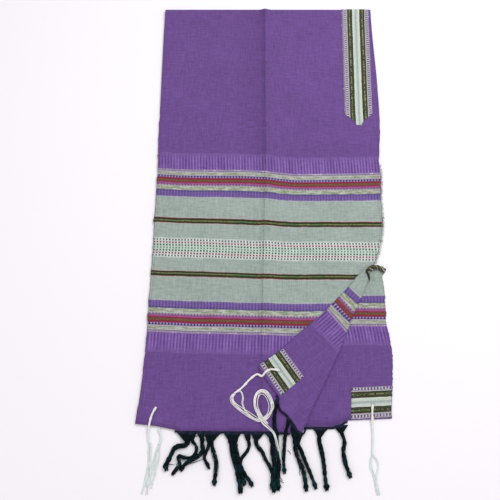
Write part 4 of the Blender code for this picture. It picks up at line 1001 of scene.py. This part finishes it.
def teal_yarn():
    """Dark teal yarn, with painted shade almost black between its threads and painted blue-green highlights
    on their crowns.

    The first few millimetres still hold some of the purple weft.
    """
    made, start, set_looks = finish_of("teal_yarn", 0.9, 0.0, 0.08)
    u, v = chart_of(start)
    fibres = (v * 1.0 + u * 0.35).speck(u, 1.1, 0.12, 3.0)
    # Painted shade: almost black where the fibres lie low, dark teal on their crowns.
    colour = fibres.over(0.5, 0.35).mix(dye(3, 6, 9), dye(17, 33, 39))
    # Painted blue-green highlights on the crowns, in broad patches.
    patches = u.speck(v, 0.035, 0.03, 1.0).over(0.55, 0.12) * fibres.over(0.46, 0.3)
    colour = colour.tinted(patches * 0.6, 24, 66, 70)
    colour = colour.tinted((1.0 - u.over(4.0, 7.0)) * 0.5, 50, 34, 72)
    set_looks(colour, fibres, 0.0006)
    return made


def tassel(root, half_cell, hem_way, route, radius, seed):
    """A tassel as one tube: a flat gathered web that narrows to a rope of two plies.

    Its half width falls evenly from the cell's to the rope's along the web, whose ridges are the
    size of a sine across it. The rope's radius is largest on two opposite sides, which turn
    along it, with finer yarns on them. A knot, a bell along the rope, swells it near each end.
    """
    middle, side, up, s = follow([root] + [(x, y, sum(z) + radius * 0.9 + 0.3) for x, y, *z in route], 1.5)
    web = math.dist(root[:2], route[0][:2])
    length = s[-1]
    theta = np.linspace(0.0, 2.0 * math.pi, 40, endpoint=False)[None, :]
    s = s[:, None]
    narrow = np.clip(1.0 - s / web, 0.0, 1.0)
    rope = ease(s / web)
    side = side * rope + np.array([*hem_way, 0.0]) * (1.0 - rope)
    side /= np.linalg.norm(side, axis=1)[:, None]
    spread = max(half_cell - 0.8 * radius, 0.0) * narrow
    thin = radius + (0.8 - radius) * narrow
    turn = 2.0 * math.pi * np.maximum(0.0, s - 0.5 * web) / 24.0 + seed
    plies = 0.72 + 0.34 * np.abs(np.cos(theta - turn)) + 0.06 * np.cos(11.0 * theta + 2.2 * turn)
    crowns = 0.66 + 0.5 * np.abs(np.sin(math.pi * 8.0 * (np.cos(theta) + 1.0) / 2.0))
    shape = crowns * (1.0 - rope) + plies * rope
    knots = 0.30 * np.exp(-((s - web - 1.0) / 3.0) ** 2) + 0.42 * np.exp(-((s - length + 4.5) / 3.0) ** 2)
    swell = 1.0 + knots + 0.08 * np.sin(s / 5.0 + seed)
    wide = (radius + spread) * (1.0 - rope + rope * shape) * swell
    high = thin * shape * swell
    rings = hoops(middle, side, up, theta, wide, high)
    rings[..., 2] = np.maximum(rings[..., 2], 0.3)
    parts = [ring_part(rings, s, theta * radius)]
    chance = np.random.default_rng(seed)
    tip, ahead = middle[-1], middle[-1] - middle[-4]
    ahead = ahead / np.linalg.norm(ahead)
    for k in range(16):
        place = chance.uniform(-0.8, 0.8)
        start = tip - ahead * 3.0 + side[-1] * place * radius * 0.8
        start = start + up[-1] * chance.uniform(-0.7, 0.7) * radius
        far = tip + ahead * chance.uniform(1.2, 4.2) + side[-1] * place * radius * 1.25
        far[2] = max(0.8, start[2] * 0.6)
        parts.append(strand([tuple(start), tuple((start + far) / 2), tuple(far)], 0.75, 5, 1.5, 0.5))
    for k in range(5):
        begin = int(chance.uniform(0.1, 0.6) * len(middle))
        stop = min(len(middle) - 1, begin + int(chance.uniform(0.15, 0.4) * len(middle)) + 4)
        picks = np.linspace(begin, stop, 5).astype(int)
        off = chance.choice([-1.0, 1.0]) * radius * np.array([0.7, 1.05, 1.15, 1.1, 0.8])
        spots = middle[picks] + side[picks] * off[:, None]
        parts.append(strand([tuple(p) for p in spots], 0.5, 5, 2.5, 0.5, 0.4, seed + k))
    return parts


def hem_strip(points, outs, base):
    """The strip of bare warp next to a hem: a box bent along it, ridged by its threads."""
    line = np.asarray(points, float)
    out = np.asarray(outs, float)
    shares = np.array([0.1, 0.5, 1.0])[:, None, None] * (SEAM + STRIP_DEPTH + 0.3)
    plan = line[None] + out[None] * shares
    ridge = 0.25 * np.abs(np.sin(np.arange(len(line)) * 1.3))
    z = base + CLOTH + 0.1 + ridge[None] + 0.0 * plan[..., 0]
    grid = np.concatenate([plan, z[..., None]], 2)
    u = np.tile(np.array([0.0, 1.5, 3.0])[:, None], (1, len(line)))
    v = np.tile(np.arange(len(line)) * 1.5, (3, 1))
    across, along = np.gradient(grid, axis=1), np.gradient(grid, axis=0)
    if np.cross(across, along)[..., 2].mean() < 0:
        grid, u, v = grid[:, ::-1], u[:, ::-1], v[:, ::-1]
    return sheet_part(grid, np.stack([u, v], -1), CLOTH)


def straight_hem(table, cuts):
    """Points of a hem at places across, and the direction out of it: down the cloth."""
    cuts = np.asarray(cuts, float)
    return np.stack([cuts, at(table, cuts)], -1), np.stack([0.0 * cuts, 0.0 * cuts - 1.0], -1)


def flap_hem(table, cuts):
    """Points of the turned corner's hem at corner numbers, and the direction out of it."""
    cuts = np.asarray(cuts, float)
    line = np.array(table)
    number = np.arange(len(line))
    spots = [np.stack([np.interp(cuts + d, number, line[:, k]) for k in (0, 1)], -1)
             for d in (-0.3, 0.0, 0.3)]
    run = spots[2] - spots[0]
    run /= np.linalg.norm(run, axis=-1)[..., None]
    return spots[1], np.stack([-run[..., 1], run[..., 0]], -1)


# Fringes: name, node, tassels, the hem's rule and table, the strip's foot, ends and threads.
FRINGES = [
    ("tassels_upper", "fringe_upper", TASSELS_UPPER, straight_hem, UPPER_HEM, 2.7, (-184, 40), 150),
    ("tassels_under", "fringe_under", TASSELS_UNDER, straight_hem, UNDER_HEM, 0.6, (66, 153), 60),
    ("tassels_flap", "fringe_flap", TASSELS_FLAP, flap_hem, FLAP_HEM, FLAP_LOW, (0.3, 8.2), 90),
]
yarn = teal_yarn()
for name, node, tassels, hem, table, base, span, count in FRINGES:
    parts = [hem_strip(*hem(table, np.linspace(*span, count)), base)]
    for k, (first, last, radius, route) in enumerate(tassels):
        spot, out = hem(table, (first + last) / 2)
        ends, _ = hem(table, np.array([first, last]))
        half_cell = np.linalg.norm(ends[1] - ends[0]) / 2
        root = (*(spot + out * (SEAM + STRIP_DEPTH * 0.3)), base + 0.75)
        parts += tassel(root, half_cell, (-out[1], out[0]), route, radius, 11 + k)
    if node == "fringe_upper":
        parts += [strand(path, 0.55, 5, 2.0, 0.5) for path in LOOSE_YARNS]
    fringe = put(name, parts, yarn)
    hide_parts(node)
hem_line = [(x, at(UNDER_HEM, x) + 1.6, UNDER_TOP) for x in np.linspace(72.0, 128.0, 40)]
lilac_thread = plain_thread("lilac_thread", (178, 150, 204), (120, 92, 150))
put("hem_stitches", stitches(hem_line, 2.0, 2.2, 0.35), lilac_thread)

# The tzitzit: white strings through each corner's eyelet. They are wound and knotted into a cord
# for its first stretch, and then hang loose.
STRING, LANE_GAP, CORD_RISE = 0.70, 1.15, 2.4
# Tzitzit: the cord's route, then its groups of loose strings, each a count, a wander and a route.
# A point's height is left out where it is 0.
TZITZIT = {
    "tzitzit_right": [
        [(203.6, -391.5, 3.6), (202, -404, 3.6), (201, -423, 3.6), (201, -431, 2.0), (201, -442),
         (200, -460), (198, -488)],
        [(4, 0.8, [(197.6, -486), (193.5, -498), (193, -508), (196, -520), (199, -531), (200.5, -544),
          (203, -559)]),
         (4, 0.8, [(198.6, -486), (205.5, -498), (207, -508), (204.5, -520), (202, -531),
          (203.4, -544), (206, -559)])]],
    "tzitzit_left_upper": [
        [(-221.5, -396.5, 4.2), (-227, -406, 4.2), (-231, -417, 4.2), (-234, -433, 4.2),
         (-235, -442, 2.0), (-235, -452), (-232, -466)],
        [(8, 2.2, [(-232, -465), (-230, -478), (-230, -498), (-232, -520), (-236, -538),
          (-239, -558.0)])]],
    "tzitzit_left_under": [
        [(-215, -436.0), (-214.4, -440), (-211, -448), (-210, -457), (-213, -468)],
        [(8, 2.0, [(-213, -467), (-216, -480), (-219, -500), (-221, -514), (-226, -531),
          (-231, -546)])]],
    "tzitzit_flap": [
        [(21.5, -325.5, 7.7), (12, -323.5, 7.7), (2, -323.5, 7.7), (-7, -329, 7.5), (-14, -336, 5.2),
         (-24, -332.5, 4.2), (-38, -342.5, 4.2), (-49, -354.5, 4.2), (-59, -363.5, 4.2),
         (-68, -369.5, 4.2)],
        [(6, 2.0, [(-68, -369.5, 4.2), (-73.5, -377, 4.2), (-71.5, -386, 4.2), (-62, -395.5, 4.2),
          (-49, -406.5, 4.2), (-36, -415.5, 4.2), (-22, -421, 4.2), (-8, -418, 4.8),
          (1.5, -408.5, 4.2), (5.2, -394, 4.2), (2, -380, 4.2), (-5, -369.5, 4.2), (-14, -366, 4.2),
          (-22, -371, 4.2), (-26, -383, 4.2), (-25, -398, 5.4), (-18.5, -411.5, 7.0),
          (-10.3, -422.3, 7.0), (-3.5, -430, 5.6)]),
         (2, 0.6, [(-66, -369, 4.2), (-59.5, -365.5, 4.6), (-54.5, -368, 4.4), (-51.2, -379, 4.2),
          (-52.2, -389, 4.4), (-46.5, -403, 5.4), (-35, -414.5, 5.8), (-24, -420.5, 5.8),
          (-8, -417, 6.0), (2.5, -407, 5.0), (9, -396, 4.2), (6, -384, 4.2), (0, -372, 4.2),
          (-12, -364, 4.4), (-23, -368, 4.4), (-29, -382, 4.4), (-28, -398, 6.0), (-20, -413, 8.0),
          (-13.5, -428, 7.0), (-2.6, -437, 6.4), (7, -446, 9.0), (12.7, -457.3, 11.6),
          (16.3, -472.3, 10.4), (19.9, -487, 5.0), (21.7, -500, 1.0), (21.5, -510)]),
         (2, 0.8, [(-24, -410, 7.4), (-15, -424, 7.0), (-2.6, -435, 6.4), (7, -445, 8.6),
          (12, -456, 10.6), (15.5, -471, 8.4), (18.5, -485, 3.6), (20, -496)])]],
}


def white_string():
    """Undyed white string, twisted, with painted shade between its plies; cooler where it lies off the
    cloth.
    """
    made, start, set_looks = finish_of("white_string", 0.8, 0.9)
    u, v = chart_of(start)
    place = start.node("ShaderNodeTexCoord", out=3)
    low = start.node("ShaderNodeSeparateXYZ", (), {0: place}, out=1) * -1000.0
    twist = (u + v * 1.2).ripple(2.2)
    # Painted shade: greyer in the grooves between the plies.
    warm = twist.mix(dye(236, 230, 226), dye(255, 252, 250))
    cool = twist.mix(dye(216, 232, 226), dye(246, 253, 250))
    colour = low.over(438.0, 10.0).mix(warm, cool)
    set_looks(colour.scaled(u.speck(v, 0.2, 0.6) * 0.16 + 0.96), twist + u.speck(v, 1.0, 1.0), 0.0004)
    return made


def lanes(route, count, seed, wander):
    """Loose strings along one route: each keeps a lane beside it and wanders slowly off it.

    A lane's place is its number times the gap, plus a slow chance wave that starts small. Every
    other string lies a little higher.
    """
    middle, side, _, s = follow([(x, y, sum(z)) for x, y, *z in route], 3.0)
    knots = np.linspace(0.0, s[-1], max(4, int(s[-1] / 26.0)))
    chance = np.random.default_rng(seed)
    parts = []
    for k in range(count):
        wave = np.interp(s, knots, chance.normal(0.0, 1.0, len(knots)))
        wave = np.convolve(np.pad(wave, 2, mode="edge"), np.ones(5) / 5.0, "valid")
        drift = wander * wave * ease(s / 18.0)
        place = (chance.permutation(count)[0] * 0.15 + k - 0.5 * (count - 1)) * LANE_GAP
        spots = middle + side * (place * (0.6 + 0.4 * ease(s / 14.0)) + drift)[:, None]
        spots[:, 2] += STRING + 0.3 + 0.9 * (k % 2) * (0.5 + 0.5 * np.sin(s / 9.0 + 2.0 * k))
        parts.append(strand([tuple(p) for p in spots], STRING, 6, 1.8, 0.8))
    return parts


def wound_cord(route):
    """The knotted cord: a tube ringed by close windings, with double knots a thumb's width apart."""
    middle, side, up, s = follow([(x, y, sum(z) + CORD_RISE) for x, y, *z in route], 0.42)
    theta = np.linspace(0.0, 2.0 * math.pi, 14, endpoint=False)[None, :]
    knots = np.linspace(6.0, s[-1] - 9.0, max(2, int(round(s[-1] / 19.0))))
    s = s[:, None]
    swell = 0.38 * np.exp(-((s - knots[None, :]) / 2.6) ** 2).sum(1, keepdims=True)
    radius = (1.75 + 0.16 * np.cos(2.0 * math.pi * s / 1.5 + theta)) * (1.0 + swell)
    rings = hoops(middle, side, up, theta, radius * 1.12, radius * 0.92)
    return ring_part(rings, s * 1.5, theta * 2.0)


string = white_string()
for number, (name, (cord_route, groups)) in enumerate(TZITZIT.items()):
    parts = [wound_cord(cord_route)]
    for group, (count, wander, route) in enumerate(groups):
        parts += lanes(route, count, 100 * number + group, wander)
    made = put(name + "_strings", parts, string)
    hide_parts(name)
